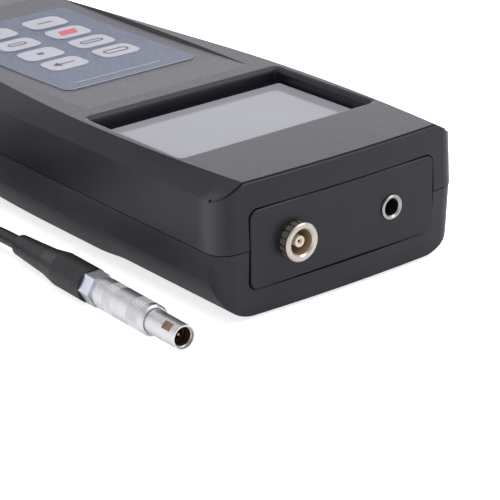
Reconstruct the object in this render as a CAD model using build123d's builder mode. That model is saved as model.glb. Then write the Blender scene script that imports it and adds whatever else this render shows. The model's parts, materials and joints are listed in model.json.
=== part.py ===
from build123d import *
import math
import os

# A hand-held wood moisture meter with its probe lead. Lengths are in millimetres.
# The origin is the centre of the underside. The head end, with the sockets, faces -Y, and +Z is up.

os.makedirs("parts", exist_ok=True)

# Case
body_length = 162.0
body_width = 61.8
parting_height = 15.0
deck_fall = 0.9              # degrees, towards the tail
head_bow = 1.1
tail_bow = 2.0
head_corner = 4.5
tail_corner = 10.0
taper_start = 66.0           # from the head end, where the sides begin to close in
taper_angle = 4.9
waist_radius = 350.0
upper_draft = 2.2
lower_draft = 2.8
lower_inset = 0.12           # the lower shell stands in from the upper one
reveal_height = 0.25         # of the fine groove under the parting line
reveal_depth = 0.35
head_lift = 0.75             # the underside of the head is this much higher
head_lift_end = 38.0
head_lift_run = 7.5
head_lift_round = 20.0
bottom_radius = 8.2
wall = 2.0
end_wall = 5.2               # thickness of the head end, which holds the end panel
overrun = 6.0                # construction surfaces run on past the case by this much

# Bevel between the deck and the sides
deck_half = 26.9             # at the widest place
deck_widest = 45.5           # from the head end
deck_curve = 430.0
bevel_drop = 3.4
bevel_half = 30.75
ledge_depth = 0.35           # the fine step along the head edge
ledge_width = 0.4
ledge_end = 4.7
ledge_chamfer = 0.2

# Display
recess_start = 20.8
recess_length = 31.1
recess_width = 49.0
recess_depth = 2.8
recess_corner = 0.6
recess_round = 1.3
recess_wall = 1.6
window_thickness = 0.8
window_gap = 0.15
ledge_margin = 0.9
ledge_thickness = 0.8
glass_thickness = 1.8
glass_gap = 0.1
window_air = 0.1
strip_thickness = 0.6
strip_width = 2.0

# Keypad
tray_margin = 1.17           # inside the deck's edge, where the tray is lowest
tray_radius = 1105.0
tray_lowest = 112.2          # from the head end
tray_depth = 0.51            # of the floor under the deck, at its lowest place
tray_side_slope = 30.0
tray_arc = 3.5               # degrees each way, past both ends of the tray
overlay_start = 70.1
overlay_length = 52.4
overlay_width = 34.8
overlay_thickness = 0.25
overlay_corner = 2.5
key_columns = 2
key_rows = 4
key_column_pitch = 13.8
key_row_pitch = 9.36
key_first_row = 86.4
key_width = 10.0
key_length = 7.3
key_corner = 2.2
key_proud = 0.15             # above the overlay
key_gap = 0.12
key_travel = 0.3
key_flange = 0.6
key_flange_thickness = 0.8
flange_gap = 0.1             # under the deck's wall
dome_gap = 0.05              # beyond the key's travel
key_round = 0.2
dome_height = 0.35
dome_radius = 2.5
dome_slope = 45

# Main board
board_thickness = 1.0
board_start = 16.5
board_waist = 64.0
board_end = 121.0
board_head_width = 50.0
board_tail_width = 34.8
post_diameter = 4.0
post_places = ((15.0, 67.5), (15.0, 118.5))

# End panel
panel_width = 47.1
panel_height = 16.45
panel_middle = 14.69         # height above the underside
panel_face = 0.5             # from the head end
panel_thickness = 1.8
panel_corner = 1.75
panel_gap = 0.3
panel_chamfer = 0.2
panel_flange = 1.6
panel_flange_thickness = 1.2
panel_slot_gap = 0.1

# Probe receptacle
socket_x = -12.69
socket_z = 14.39
socket_diameter = 8.0
socket_proud = 2.3
socket_flange = 0.8
socket_flare = 0.35
socket_chamfer = 0.25
socket_thread = 6.6
socket_length = 12.0         # behind the panel's face
socket_bore = 5.2
socket_bore_depth = 10.0     # from the lip
socket_post = 2.3
socket_post_depth = 0.9      # from the lip
socket_nut_across = 8.0
socket_nut_thickness = 2.0
ring_diameter = 7.7
ring_notch_count = 16
ring_notch_width = 0.5
ring_notch_depth = 0.3
contact_diameter = 1.2
contact_bore = 0.65
contact_depth = 0.3          # behind the post's front
contact_tail = 2.5

# Jack
jack_x = 12.17
jack_z = 14.65
jack_bush = 5.2
jack_proud = 0.5
jack_bore = 3.6
jack_depth = 14.0
jack_body_width = 8.0
jack_body_height = 7.0
jack_body_length = 12.0
jack_flare = 0.3

# Battery and door
battery_length = 48.5
battery_width = 26.5
battery_height = 17.5
battery_gap = 0.3
battery_corner = 1.2
battery_board_gap = 0.32
bay_room = 7.0               # between the bay and the tail end
bay_wall = 1.6
bay_wall_top = 13.0
floor_thickness = 3.2
clip_thickness = 1.6
stud_height = 2.1
stud_diameter = 5.8
stud_pitch = 12.7
door_width = 31.0
door_thickness = 1.9
door_tongue = 1.3
door_skin = 0.8
door_gap = 0.2
door_rib_pitch = 2.4
door_rib_count = 6

# Case screws
screw_places = ((21.5, 11.0), (21.5, 97.0))
screw_diameter = 3.0
screw_length = 16.0
screw_head = 5.4
screw_head_height = 2.2
screw_gap = 0.05
head_gap = 0.4
screw_slot = 0.8
boss_diameter = 7.6
bore_depth = 6.0

# Plug
plug_tip = (-42.59, -83.79)
plug_turn = 1.71             # degrees, of the plug's axis away from +Y
plug_axis_height = 3.65
nose_diameter = 5.05
nose_wall = 0.3
nose_open = 8.6
nose_tail = 4.0
nose_tail_length = 5.0
latch_start = 0.35
latch_chamfer = 0.2
insulator_start = 2.5
insulator_diameter = 3.6
insulator_base = 1.2
insulator_gap = 0.1          # around the receptacle's post
plug_pin_start = 1.8
plug_pin_gap = 0.05          # inside the receptacle's contact
fit = 0.03                   # between turned pieces that sit in one another
window_start = 1.7
window_length = 2.6
window_width = 1.7
window_turn = 42.0
sleeve_start = 9.6
sleeve_end = 26.4
sleeve_diameter = 6.4
sleeve_bore_gap = 0.1
sleeve_chamfer = 0.3
sleeve_round = 0.45
band_depth = 0.2
band_places = ((11.1, 3.7), (20.2, 3.0))
release_travel = 1.0
release_stop = 0.1           # left over behind the sleeve at the end of its travel
nut_across = 6.1
nut_length = 6.5
boot_rim = 30.9
boot_flare = 41.3
boot_taper = 46.2
boot_end = 57.6
boot_diameter = 7.3
boot_taper_diameter = 5.8
boot_end_diameter = 4.5
boot_round = 0.25
boot_straight = 8.5          # of lead behind the boot

# Lead
cable_diameter = 3.0
coil_centre = (-58.5, 17.0)
coil_middle_radius = 16.0
coil_columns = 3
coil_layers = 3

# Hand probe
handle_axis = -44.0
handle_start = 58.0
handle_length = 70.0
handle_diameter = 16.0
handle_round = 2.0
groove_count = 9
groove_pitch = 3.0
groove_depth = 0.5
gland_length = 8.0
gland_diameter = 7.0
gland_end_diameter = 4.6
gland_straight = 7.6         # of lead in front of the gland
probe_head_width = 32.0
probe_head_height = 12.0
probe_head_length = 13.0
pin_spacing = 22.0
pin_diameter = 2.4
pin_length = 15.0
pin_seat = 6.0
pin_point = 4.0
pin_tip = 0.3
pin_nut_across = 6.0
pin_nut_height = 5.0

head_y = -body_length / 2
tail_y = body_length / 2


def at(distance):
    """The Y place at a distance from the head end."""
    return head_y + distance


def draft_inset(height, draft):
    return height * math.tan(math.radians(draft))


fall = math.radians(deck_fall)
bay_length = clip_thickness + battery_length + 3 * battery_gap
bay_start = body_length - bay_room - bay_length
bay_end = bay_start + bay_length
ledge_top = recess_depth + window_thickness
glass_top = ledge_top + window_air
board_top = glass_top + glass_thickness + strip_thickness
board_bottom = board_top + board_thickness
battery_floor = door_thickness + battery_gap
board_clearance = battery_floor + battery_height + battery_board_gap
# the deck is as high at the head end as the stack over the battery needs
deck_height = board_clearance + board_bottom / math.cos(fall) + board_end * math.tan(fall)
deck_plane = Plane(
    origin=(0, head_y, deck_height),
    x_dir=(1, 0, 0),
    z_dir=(0, math.sin(fall), math.cos(fall)),
)


def deck_at(distance):
    """The deck's height at a distance from the head end."""
    return deck_height - distance * math.tan(fall)


# Outlines of the case, seen from above


def side_run(half, start, end):
    """One side of the case: straight, then a wide arc, then straight along the taper."""
    front = Line((half, start), (half, at(taper_start)))
    waist = JernArc(start=front @ 1, tangent=(0, 1), radius=waist_radius, arc_size=taper_angle)
    closing = math.tan(math.radians(taper_angle))
    rear_end = ((waist @ 1).X - (end - (waist @ 1).Y) * closing, end)
    rear = Line(waist @ 1, rear_end)
    return front, waist, rear


def case_outline(inset):
    """The whole outline of the case, moved inward by the inset."""
    half = body_width / 2 - inset
    head_side = head_y + inset + head_bow
    with BuildSketch() as outline:
        with BuildLine():
            ThreePointArc((-half, head_side), (0, head_y + inset), (half, head_side))
            front, waist, rear = side_run(half, head_side, tail_y - inset - tail_bow)
            end = rear @ 1
            ThreePointArc((end.X, end.Y), (0, tail_y - inset), (-end.X, end.Y))
            mirror([front, waist, rear], about=Plane.YZ)
        make_face()
        fillet(outline.vertices().group_by(Axis.Y)[0], head_corner - inset)
        fillet(outline.vertices().group_by(Axis.Y)[-1], tail_corner - inset)
    return outline.sketch


def side_strip(half):
    """The case's two sides, run on past both ends."""
    with BuildSketch() as outline:
        with BuildLine():
            front, waist, rear = side_run(half, head_y - overrun, tail_y + overrun)
            mirror([front, waist, rear], about=Plane.YZ)
            Line((-half, head_y - overrun), (half, head_y - overrun))
            end = rear @ 1
            Line((end.X, end.Y), (-end.X, end.Y))
        make_face()
    return outline.sketch


def deck_strip(inset):
    """The deck between its two long edges, which swell at the display and close in behind it."""
    widest = (deck_half - inset, at(deck_widest))
    front_turn = math.degrees(math.asin((deck_widest + overrun) / deck_curve))
    with BuildSketch() as outline:
        with BuildLine():
            front = JernArc(start=widest, tangent=(0, -1), radius=deck_curve, arc_size=-front_turn)
            waist = JernArc(start=widest, tangent=(0, 1), radius=waist_radius, arc_size=taper_angle)
            end_y = tail_y + overrun
            closing = math.tan(math.radians(taper_angle))
            end_x = (waist @ 1).X - (end_y - (waist @ 1).Y) * closing
            rear = Line(waist @ 1, (end_x, end_y))
            mirror([front, waist, rear], about=Plane.YZ)
            start = front @ 1
            Line((start.X, start.Y), (-start.X, start.Y))
            Line((end_x, end_y), (-end_x, end_y))
        make_face()
    return outline.sketch


def deck_half_at(distance):
    """Half the deck's width behind its waist, at a distance from the head end."""
    taper = math.radians(taper_angle)
    straight = distance - deck_widest - waist_radius * math.sin(taper)
    return deck_half - waist_radius * (1 - math.cos(taper)) - straight * math.tan(taper)


def on_deck(depth):
    """A plane parallel to the deck, with its origin below the middle of the case."""
    shift = (0, head_y + body_length / 2, deck_at(body_length / 2))
    plane = Plane(origin=shift, x_dir=(1, 0, 0), z_dir=deck_plane.z_dir)
    return plane.offset(-depth)


def roof(inset, drop):
    """Everything under the deck and its bevels, moved inward by the inset and down by the drop."""
    with BuildPart() as block:
        with BuildSketch(on_deck(drop + bevel_drop)):
            add(side_strip(bevel_half - inset))
        with BuildSketch(on_deck(drop)):
            add(deck_strip(inset))
        loft(ruled=True)
        with BuildSketch(on_deck(drop + bevel_drop)):
            add(side_strip(body_width / 2 + 1 - inset))
        extrude(amount=-deck_height)
    return block.part


def drafted_case(inset, start, end, draft):
    """The case outline between two heights, closing in away from the parting line."""
    with BuildPart() as block:
        for height in (start, end):
            with BuildSketch(Plane.XY.offset(height)):
                add(case_outline(inset + draft_inset(abs(height - parting_height), draft)))
        loft(ruled=True)
    return block.part


# Tray floor: a shallow arc, as a ring about an axis high above the keypad

tray_height = deck_at(tray_lowest) - tray_depth
tray_half = deck_half_at(tray_lowest) - tray_margin


def tray_solid(thickness, half, slope_angle):
    """A slab whose underside follows the tray's floor, between flared sides."""
    flare = thickness / math.tan(math.radians(slope_angle))
    centre = (0, at(tray_lowest), tray_height + tray_radius)
    with BuildPart() as slab:
        with BuildSketch(Plane.XZ.offset(-at(tray_lowest))):
            with BuildLine():
                Polyline(
                    (-half, tray_height),
                    (half, tray_height),
                    (half + flare, tray_height + thickness),
                    (-half - flare, tray_height + thickness),
                    close=True,
                )
            make_face()
        revolve(axis=Axis(centre, (1, 0, 0)), revolution_arc=tray_arc)
        mirror(about=Plane.XZ.offset(-at(tray_lowest)))
    return slab.part


def tray_floor_at(distance):
    """The height of the tray's floor at a distance from the head end."""
    along = distance - tray_lowest
    return tray_height + tray_radius - math.sqrt(tray_radius**2 - along**2)


def key_plane(x, distance, lift):
    """A plane parallel to the deck, at a height above the tray's floor."""
    origin = (x, at(distance), tray_floor_at(distance) + lift)
    return Plane(origin=origin, x_dir=(1, 0, 0), z_dir=deck_plane.z_dir)


def key_places():
    """The middle of each key, row by row from the display: x and distance from the head end."""
    places = []
    for row in range(key_rows):
        for column in range(key_columns):
            x = (column - (key_columns - 1) / 2) * key_column_pitch
            places.append((x, key_first_row + row * key_row_pitch))
    return places


def mirrored(places):
    """Places given for the +X side, on both sides."""
    return [(side * x, at(distance)) for x, distance in places for side in (1, -1)]


recess_middle = (0, at(recess_start + recess_length / 2))
recess_on_deck = (0, recess_middle[1] - on_deck(0).origin.Y)
boss_points = mirrored(screw_places)
post_points = mirrored(post_places)
screw_seat = bore_depth + head_lift
panel_opening = (panel_width + 2 * panel_gap, panel_height + 2 * panel_gap)
slot_start = panel_face + panel_thickness
slot_size = (
    panel_width + 2 * panel_flange + 2 * panel_slot_gap,
    panel_height + 2 * panel_flange + 2 * panel_slot_gap,
)


def head_plane(distance):
    """An upright plane seen from the head end, at the height of the end panel's middle."""
    return Plane(origin=(0, at(distance), panel_middle), x_dir=(1, 0, 0), z_dir=(0, -1, 0))


def head_end_cut():
    """The room for the end panel: its opening, the slot for its flange and the way in behind."""
    with BuildPart() as cut:
        with BuildSketch(head_plane(slot_start)):
            RectangleRounded(*panel_opening, panel_corner + panel_gap)
        extrude(amount=slot_start + overrun)
        with BuildSketch(head_plane(slot_start + panel_flange_thickness + panel_slot_gap)):
            RectangleRounded(*slot_size, panel_corner)
        extrude(amount=panel_flange_thickness + 2 * panel_slot_gap)
        with BuildSketch(head_plane(end_wall + overrun)):
            RectangleRounded(panel_width, panel_height, panel_corner)
        extrude(amount=end_wall + overrun - slot_start)
    return cut.part


def case_hollow(block):
    """The part of a block that lies behind the thick head end."""
    with BuildPart() as hollow:
        add(block)
        with BuildSketch(Plane.XZ.offset(-at(end_wall))):
            Rectangle(2 * body_width, 4 * deck_height)
        extrude(amount=2 * overrun, mode=Mode.SUBTRACT)
    return hollow.part


# Upper shell: the bevelled deck with its display recess and keypad tray

with BuildPart() as head_step:
    with BuildSketch(Plane.XY.offset(parting_height)):
        with Locations((0, at(ledge_end - overrun))):
            Rectangle(2 * body_width, 2 * overrun)
        deck_inset = draft_inset(deck_height - parting_height, upper_draft)
        add(case_outline(deck_inset + ledge_width), mode=Mode.SUBTRACT)
    extrude(amount=deck_height)
    add(roof(0, ledge_depth), mode=Mode.SUBTRACT)

with BuildPart() as upper_hollow:
    add(drafted_case(wall, parting_height - 1, deck_height + 1, upper_draft))
    add(roof(wall / 2, wall), mode=Mode.INTERSECT)

with BuildPart() as upper_shell:
    add(drafted_case(0, parting_height, deck_height + 1, upper_draft))
    add(roof(0, 0), mode=Mode.INTERSECT)
    add(head_step.part, mode=Mode.SUBTRACT)
    step_rim = (
        upper_shell.edges()
        .filter_by(lambda edge: abs(on_deck(ledge_depth).to_local_coords(edge.center()).Z) < 0.01)
        .filter_by(lambda edge: edge.center().Y < head_y + head_corner)
        .group_by(Axis.Y)[0]
    )
    chamfer(step_rim, ledge_chamfer)
    add(case_hollow(upper_hollow.part), mode=Mode.SUBTRACT)
    # the walls around the display, down to the ledge that carries its window
    with BuildSketch(on_deck(ledge_top + ledge_thickness)):
        with Locations(recess_on_deck):
            RectangleRounded(
                recess_width + 2 * recess_wall, recess_length + 2 * recess_wall, recess_corner + 1
            )
    extrude(amount=ledge_top + ledge_thickness - wall / 2)
    # bosses for the case screws, and posts for the main board
    with BuildSketch(Plane.XY.offset(parting_height)):
        with Locations(boss_points):
            Circle(boss_diameter / 2)
    extrude(amount=deck_at(screw_places[1][1]) - parting_height - wall / 2)
    with BuildSketch(on_deck(board_top)):
        with Locations([(x, y - on_deck(0).origin.Y) for x, y in post_points]):
            Circle(post_diameter / 2)
    extrude(amount=board_top - wall / 2)
    with BuildSketch(on_deck(recess_depth + window_thickness)):
        with Locations(recess_on_deck):
            RectangleRounded(recess_width, recess_length, recess_corner)
    extrude(amount=deck_height, mode=Mode.SUBTRACT)
    with BuildSketch(on_deck(deck_height - parting_height)):
        with Locations(recess_on_deck):
            Rectangle(recess_width - 2 * ledge_margin, recess_length - 2 * ledge_margin)
    extrude(amount=deck_height, mode=Mode.SUBTRACT)
    rim = (
        upper_shell.edges()
        .filter_by(lambda edge: abs(on_deck(0).to_local_coords(edge.center()).Z) < 0.01)
        .filter_by(lambda edge: abs(edge.center().Y - recess_middle[1]) < recess_length / 2 + 0.1)
        .filter_by(lambda edge: abs(edge.center().X) < recess_width / 2 + 0.1)
    )
    fillet(rim, recess_round)
    add(tray_solid(deck_height, tray_half, tray_side_slope), mode=Mode.SUBTRACT)
    for x, distance in key_places():
        with BuildSketch(key_plane(x, distance, -deck_height / 4)):
            RectangleRounded(key_width + 2 * key_gap, key_length + 2 * key_gap, key_corner + key_gap)
        extrude(amount=deck_height / 2, mode=Mode.SUBTRACT)
    with BuildSketch(Plane.XY.offset(parting_height)):
        with Locations(boss_points):
            Circle(screw_diameter / 2 + screw_gap)
    extrude(amount=screw_seat + screw_length - parting_height + 0.5, mode=Mode.SUBTRACT)
    add(head_end_cut(), mode=Mode.SUBTRACT)
upper_shell.part.label = "upper_shell"
export_step(upper_shell.part, "parts/upper_shell.step")

# Lower shell: rounded along its bottom edges, with the battery bay under the tail


def under_profile(raise_by, ends):
    """The region below the underside, in side view: the head is lifted, with a slope behind it."""
    low = -2 * overrun
    with BuildSketch(Plane.YZ) as profile:
        with BuildLine():
            Polyline(
                (head_y - ends, low),
                (head_y - ends, head_lift + raise_by),
                (at(head_lift_end), head_lift + raise_by),
                (at(head_lift_end + head_lift_run), raise_by),
                (tail_y + ends, raise_by),
                (tail_y + ends, low),
                close=True,
            )
        make_face()
        corners = profile.vertices().filter_by(
            lambda corner: corner.Y > low + 1 and head_y < corner.X < tail_y
        )
        fillet(corners, head_lift_round)
    return profile.sketch


def belly(inset, raise_by, radius):
    """The lower shell's sides and underside, run on past both ends, with long rounded edges."""
    low = raise_by - 1
    with BuildPart() as block:
        for height in (parting_height + 1, low):
            with BuildSketch(Plane.XY.offset(height)):
                closing = draft_inset(parting_height - height, lower_draft)
                add(side_strip(body_width / 2 - inset - closing))
        loft(ruled=True)
        extrude(under_profile(raise_by, 2 * overrun), amount=body_width, both=True, mode=Mode.SUBTRACT)
        long_edges = block.edges().filter_by(
            lambda edge: edge.center().Z < head_lift + raise_by + 0.1
            and abs(edge.center().X) > body_width / 4
            and abs((edge % 0.5).X) < 0.3
        )
        fillet(long_edges, radius)
    return block.part


bay_width = battery_width + 2 * battery_gap


def door_section(gap):
    """The door in end view: a skin between the grooves, and tongues that run in them."""
    with BuildSketch(Plane.XZ.offset(-at(bay_start - gap))) as section:
        with Locations((0, -overrun)):
            Rectangle(door_width + 2 * gap, door_thickness + gap + overrun, align=(Align.CENTER, Align.MIN))
        with Locations((0, door_skin - gap)):
            Rectangle(
                door_width + 2 * door_tongue + 2 * gap,
                door_thickness - door_skin + 2 * gap,
                align=(Align.CENTER, Align.MIN),
            )
    return section.sketch


with BuildPart() as lower_case:
    add(drafted_case(lower_inset, parting_height, -1, lower_draft))
    add(belly(lower_inset, 0, bottom_radius), mode=Mode.INTERSECT)

with BuildPart() as lower_hollow:
    add(drafted_case(lower_inset + wall, parting_height + 1, -1, lower_draft))
    add(belly(lower_inset + wall, wall, bottom_radius - wall), mode=Mode.INTERSECT)

with BuildPart() as lower_shell:
    add(lower_case.part)
    add(case_hollow(lower_hollow.part), mode=Mode.SUBTRACT)
    # the bay's floor and walls, and the screw bosses
    bay_middle = at((bay_start + bay_end) / 2)
    with BuildSketch():
        with Locations((0, at((bay_start - 2 * bay_wall + body_length - wall) / 2))):
            Rectangle(door_width + 4 * door_tongue, body_length - wall - bay_start + 2 * bay_wall)
    extrude(amount=floor_thickness)
    with BuildSketch(Plane.XY.offset(floor_thickness / 2)):
        with Locations((0, bay_middle)):
            Rectangle(bay_width + 2 * bay_wall, bay_end - bay_start + 2 * bay_wall)
    extrude(amount=bay_wall_top - floor_thickness / 2)
    with BuildSketch(Plane.XY.offset(wall / 2)):
        with Locations(boss_points):
            Circle(boss_diameter / 2)
    extrude(amount=parting_height - wall / 2)
    add(lower_case.part, mode=Mode.INTERSECT)
    with BuildSketch():
        with Locations((0, bay_middle)):
            Rectangle(bay_width, bay_end - bay_start)
    extrude(amount=deck_height, mode=Mode.SUBTRACT)
    extrude(door_section(door_gap), amount=-(body_length - bay_start + overrun), mode=Mode.SUBTRACT)
    with BuildSketch():
        with Locations(boss_points):
            Circle(screw_diameter / 2 + 2 * screw_gap)
    extrude(amount=parting_height, mode=Mode.SUBTRACT)
    with BuildSketch():
        with Locations(boss_points):
            Circle(screw_head / 2 + head_gap)
    extrude(amount=screw_seat, mode=Mode.SUBTRACT)
    add(head_end_cut(), mode=Mode.SUBTRACT)
    # the groove that the shells leave between them
    with BuildSketch(Plane.XY.offset(parting_height - reveal_height)):
        Rectangle(2 * body_width, 2 * body_length)
        add(case_outline(lower_inset + reveal_depth), mode=Mode.SUBTRACT)
    extrude(amount=reveal_height, mode=Mode.SUBTRACT)
lower_shell.part.label = "lower_shell"
export_step(lower_shell.part, "parts/lower_shell.step")

# Battery door: slides out through the tail, with finger ribs near its front edge

with BuildPart() as battery_door:
    extrude(door_section(0), amount=-(body_length - bay_start + overrun))
    add(lower_case.part, mode=Mode.INTERSECT)
    with BuildSketch():
        with Locations((0, at(bay_start + 2 * overrun))):
            with GridLocations(0, door_rib_pitch, 1, door_rib_count):
                SlotOverall(door_width / 2, door_rib_pitch / 2)
    extrude(amount=door_skin / 2, mode=Mode.SUBTRACT)
battery_door.part.label = "battery_door"
export_step(battery_door.part, "parts/battery_door.step")


# End panel

with BuildPart() as end_panel:
    with BuildSketch(head_plane(slot_start)):
        RectangleRounded(panel_width, panel_height, panel_corner)
    extrude(amount=panel_thickness)
    chamfer(end_panel.faces().sort_by(Axis.Y)[0].edges(), panel_chamfer)
    with BuildSketch(head_plane(slot_start + panel_flange_thickness)):
        RectangleRounded(
            panel_width + 2 * panel_flange, panel_height + 2 * panel_flange, panel_corner
        )
    extrude(amount=panel_flange_thickness)
    with BuildSketch(head_plane(end_wall)):
        with Locations((socket_x, socket_z - panel_middle)):
            Circle(socket_thread / 2 + screw_gap)
        with Locations((jack_x, jack_z - panel_middle)):
            Circle(jack_bush / 2 + screw_gap)
    extrude(amount=2 * end_wall, mode=Mode.SUBTRACT)
end_panel.part.label = "end_panel"
export_step(end_panel.part, "parts/end_panel.step")

panel_back = slot_start + panel_flange_thickness


def socket_plane(x, z, distance):
    """An upright plane on a socket's axis, facing out of the head end."""
    return Plane(origin=(x, at(distance), z), x_dir=(1, 0, 0), z_dir=(0, -1, 0))


# Probe receptacle: a round shell clamped in the end panel by a nut

lip = panel_face - socket_proud

with BuildPart() as socket_shell:
    with BuildSketch(socket_plane(socket_x, socket_z, lip + socket_flange)):
        Circle(socket_diameter / 2)
    extrude(amount=socket_flange)
    chamfer(socket_shell.edges().filter_by(GeomType.CIRCLE), socket_chamfer)
    with BuildSketch(socket_plane(socket_x, socket_z, panel_face + socket_length)):
        Circle(socket_thread / 2)
    extrude(amount=socket_length + socket_proud - socket_flange)
    with BuildSketch(socket_plane(socket_x, socket_z, panel_face + socket_length)):
        Circle(socket_bore / 2)
    extrude(amount=socket_length + socket_proud, mode=Mode.SUBTRACT)
    mouth = socket_shell.edges().filter_by(GeomType.CIRCLE).group_by(Axis.Y)[0]
    chamfer(mouth.sort_by(SortBy.RADIUS)[0], socket_flare)
socket_shell.part.label = "socket_shell"
export_step(socket_shell.part, "parts/socket_shell.step")

with BuildPart() as socket_ring:
    with BuildSketch(socket_plane(socket_x, socket_z, panel_face)):
        Circle(ring_diameter / 2)
        Circle(socket_thread / 2 + fit, mode=Mode.SUBTRACT)
        with PolarLocations(ring_diameter / 2, ring_notch_count):
            Rectangle(2 * ring_notch_depth, ring_notch_width, mode=Mode.SUBTRACT)
    extrude(amount=socket_proud - socket_flange)
socket_ring.part.label = "socket_ring"
export_step(socket_ring.part, "parts/socket_ring.step")

with BuildPart() as socket_insulator:
    with BuildSketch(socket_plane(socket_x, socket_z, panel_face + socket_length)):
        Circle(socket_bore / 2 - fit)
    extrude(amount=panel_face + socket_length - lip - socket_bore_depth)
    with BuildSketch(socket_plane(socket_x, socket_z, lip + socket_bore_depth)):
        Circle(socket_post / 2)
    extrude(amount=socket_bore_depth - socket_post_depth)
    with BuildSketch(socket_plane(socket_x, socket_z, panel_face + socket_length)):
        Circle(contact_diameter / 2 + fit)
    extrude(amount=panel_face + socket_length - lip - socket_post_depth, mode=Mode.SUBTRACT)
socket_insulator.part.label = "socket_insulator"
export_step(socket_insulator.part, "parts/socket_insulator.step")

contact_end = panel_face + socket_length + contact_tail

with BuildPart() as socket_contact:
    with BuildSketch(socket_plane(socket_x, socket_z, contact_end)):
        Circle(contact_diameter / 2)
    extrude(amount=contact_end - lip - socket_post_depth - contact_depth)
    with BuildSketch(socket_plane(socket_x, socket_z, panel_face + socket_length)):
        Circle(contact_bore / 2)
    extrude(amount=panel_face + socket_length - lip, mode=Mode.SUBTRACT)
socket_contact.part.label = "socket_contact"
export_step(socket_contact.part, "parts/socket_contact.step")

with BuildPart() as socket_nut:
    with BuildSketch(socket_plane(socket_x, socket_z, panel_back + socket_nut_thickness)):
        RegularPolygon(socket_nut_across / 2, 6, major_radius=False)
        Circle(socket_thread / 2 + screw_gap, mode=Mode.SUBTRACT)
    extrude(amount=socket_nut_thickness)
socket_nut.part.label = "socket_nut"
export_step(socket_nut.part, "parts/socket_nut.step")

# Jack: a bush in the end panel, on a moulded body behind it

with BuildPart() as jack_bush_piece:
    with BuildSketch(socket_plane(jack_x, jack_z, panel_back)):
        Circle(jack_bush / 2)
        Circle(jack_bore / 2, mode=Mode.SUBTRACT)
    extrude(amount=panel_back - panel_face + jack_proud)
    mouth = jack_bush_piece.edges().filter_by(GeomType.CIRCLE).group_by(Axis.Y)[0]
    chamfer(mouth.sort_by(SortBy.RADIUS)[0], jack_flare)
    chamfer(mouth.sort_by(SortBy.RADIUS)[-1], jack_flare / 2)
jack_bush_piece.part.label = "jack_bush"
export_step(jack_bush_piece.part, "parts/jack_bush.step")

with BuildPart() as jack_body:
    with BuildSketch(socket_plane(jack_x, jack_z, panel_back + jack_body_length)):
        RectangleRounded(jack_body_width, jack_body_height, jack_flare)
    extrude(amount=jack_body_length)
    with BuildSketch(socket_plane(jack_x, jack_z, panel_face - jack_proud + jack_depth)):
        Circle(jack_bore / 2)
    extrude(amount=jack_depth, mode=Mode.SUBTRACT)
jack_body.part.label = "jack_body"
export_step(jack_body.part, "parts/jack_body.step")

# Display: window, glass and the strips that join the glass to the board

with BuildPart() as display_window:
    with BuildSketch(on_deck(ledge_top)):
        with Locations(recess_on_deck):
            RectangleRounded(
                recess_width - 2 * window_gap, recess_length - 2 * window_gap, recess_corner
            )
    extrude(amount=window_thickness)
display_window.part.label = "display_window"
export_step(display_window.part, "parts/display_window.step")

glass_width = recess_width - 2 * ledge_margin - 2 * glass_gap
glass_length = recess_length - 2 * ledge_margin - 2 * glass_gap

with BuildPart() as display_glass:
    with BuildSketch(on_deck(glass_top + glass_thickness)):
        with Locations(recess_on_deck):
            Rectangle(glass_width, glass_length)
    extrude(amount=glass_thickness)
display_glass.part.label = "display_glass"
export_step(display_glass.part, "parts/display_glass.step")

with BuildPart() as display_strips:
    with BuildSketch(on_deck(board_top)):
        with Locations(recess_on_deck):
            with GridLocations(0, glass_length - strip_width, 1, 2):
                Rectangle(glass_width, strip_width)
    extrude(amount=strip_thickness)
display_strips.part.label = "display_strips"
export_step(display_strips.part, "parts/display_strips.step")

# Main board, hung from the upper shell's posts

with BuildPart() as main_board:
    with BuildSketch(on_deck(board_bottom)):
        with BuildLine():
            head_edge = board_start - body_length / 2
            waist_edge = board_waist - body_length / 2
            tail_edge = board_end - body_length / 2
            Polyline(
                (-board_head_width / 2, head_edge),
                (board_head_width / 2, head_edge),
                (board_head_width / 2, waist_edge),
                (board_tail_width / 2, waist_edge),
                (board_tail_width / 2, tail_edge),
                (-board_tail_width / 2, tail_edge),
                (-board_tail_width / 2, waist_edge),
                (-board_head_width / 2, waist_edge),
                close=True,
            )
        make_face()
    extrude(amount=board_thickness)
main_board.part.label = "main_board"
export_step(main_board.part, "parts/main_board.step")

# Keypad: overlay sheet on the tray's floor, keys through it, and domes under the keys

with BuildPart() as keypad_overlay:
    add(tray_solid(overlay_thickness, overlay_width / 2 + 1, tray_side_slope))
    with BuildSketch():
        with Locations((0, at(overlay_start + overlay_length / 2))):
            RectangleRounded(overlay_width, overlay_length, overlay_corner)
    extrude(amount=2 * deck_height, mode=Mode.INTERSECT)
    for x, distance in key_places():
        with BuildSketch(key_plane(x, distance, -deck_height / 4)):
            RectangleRounded(key_width + 2 * key_gap, key_length + 2 * key_gap, key_corner + key_gap)
        extrude(amount=deck_height / 2, mode=Mode.SUBTRACT)
keypad_overlay.part.label = "keypad_overlay"
export_step(keypad_overlay.part, "parts/keypad_overlay.step")

for number, (x, distance) in enumerate(key_places(), start=1):
    lift = overlay_thickness + key_proud
    dome_top = deck_at(distance) - board_top + dome_height
    stem = tray_floor_at(distance) + lift - dome_top - key_travel - dome_gap
    flange_lift = deck_at(distance) - wall - flange_gap - tray_floor_at(distance)
    with BuildPart() as key:
        with BuildSketch(key_plane(x, distance, lift)):
            RectangleRounded(key_width, key_length, key_corner)
        extrude(amount=-stem)
        fillet(key.faces().sort_by(Axis.Z)[-1].edges(), key_round)
        with BuildSketch(key_plane(x, distance, flange_lift)):
            RectangleRounded(key_width + 2 * key_flange, key_length + 2 * key_flange, key_corner)
        extrude(amount=-key_flange_thickness)
    key.part.label = f"key_{number}"
    export_step(key.part, f"parts/key_{number}.step")

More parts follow.
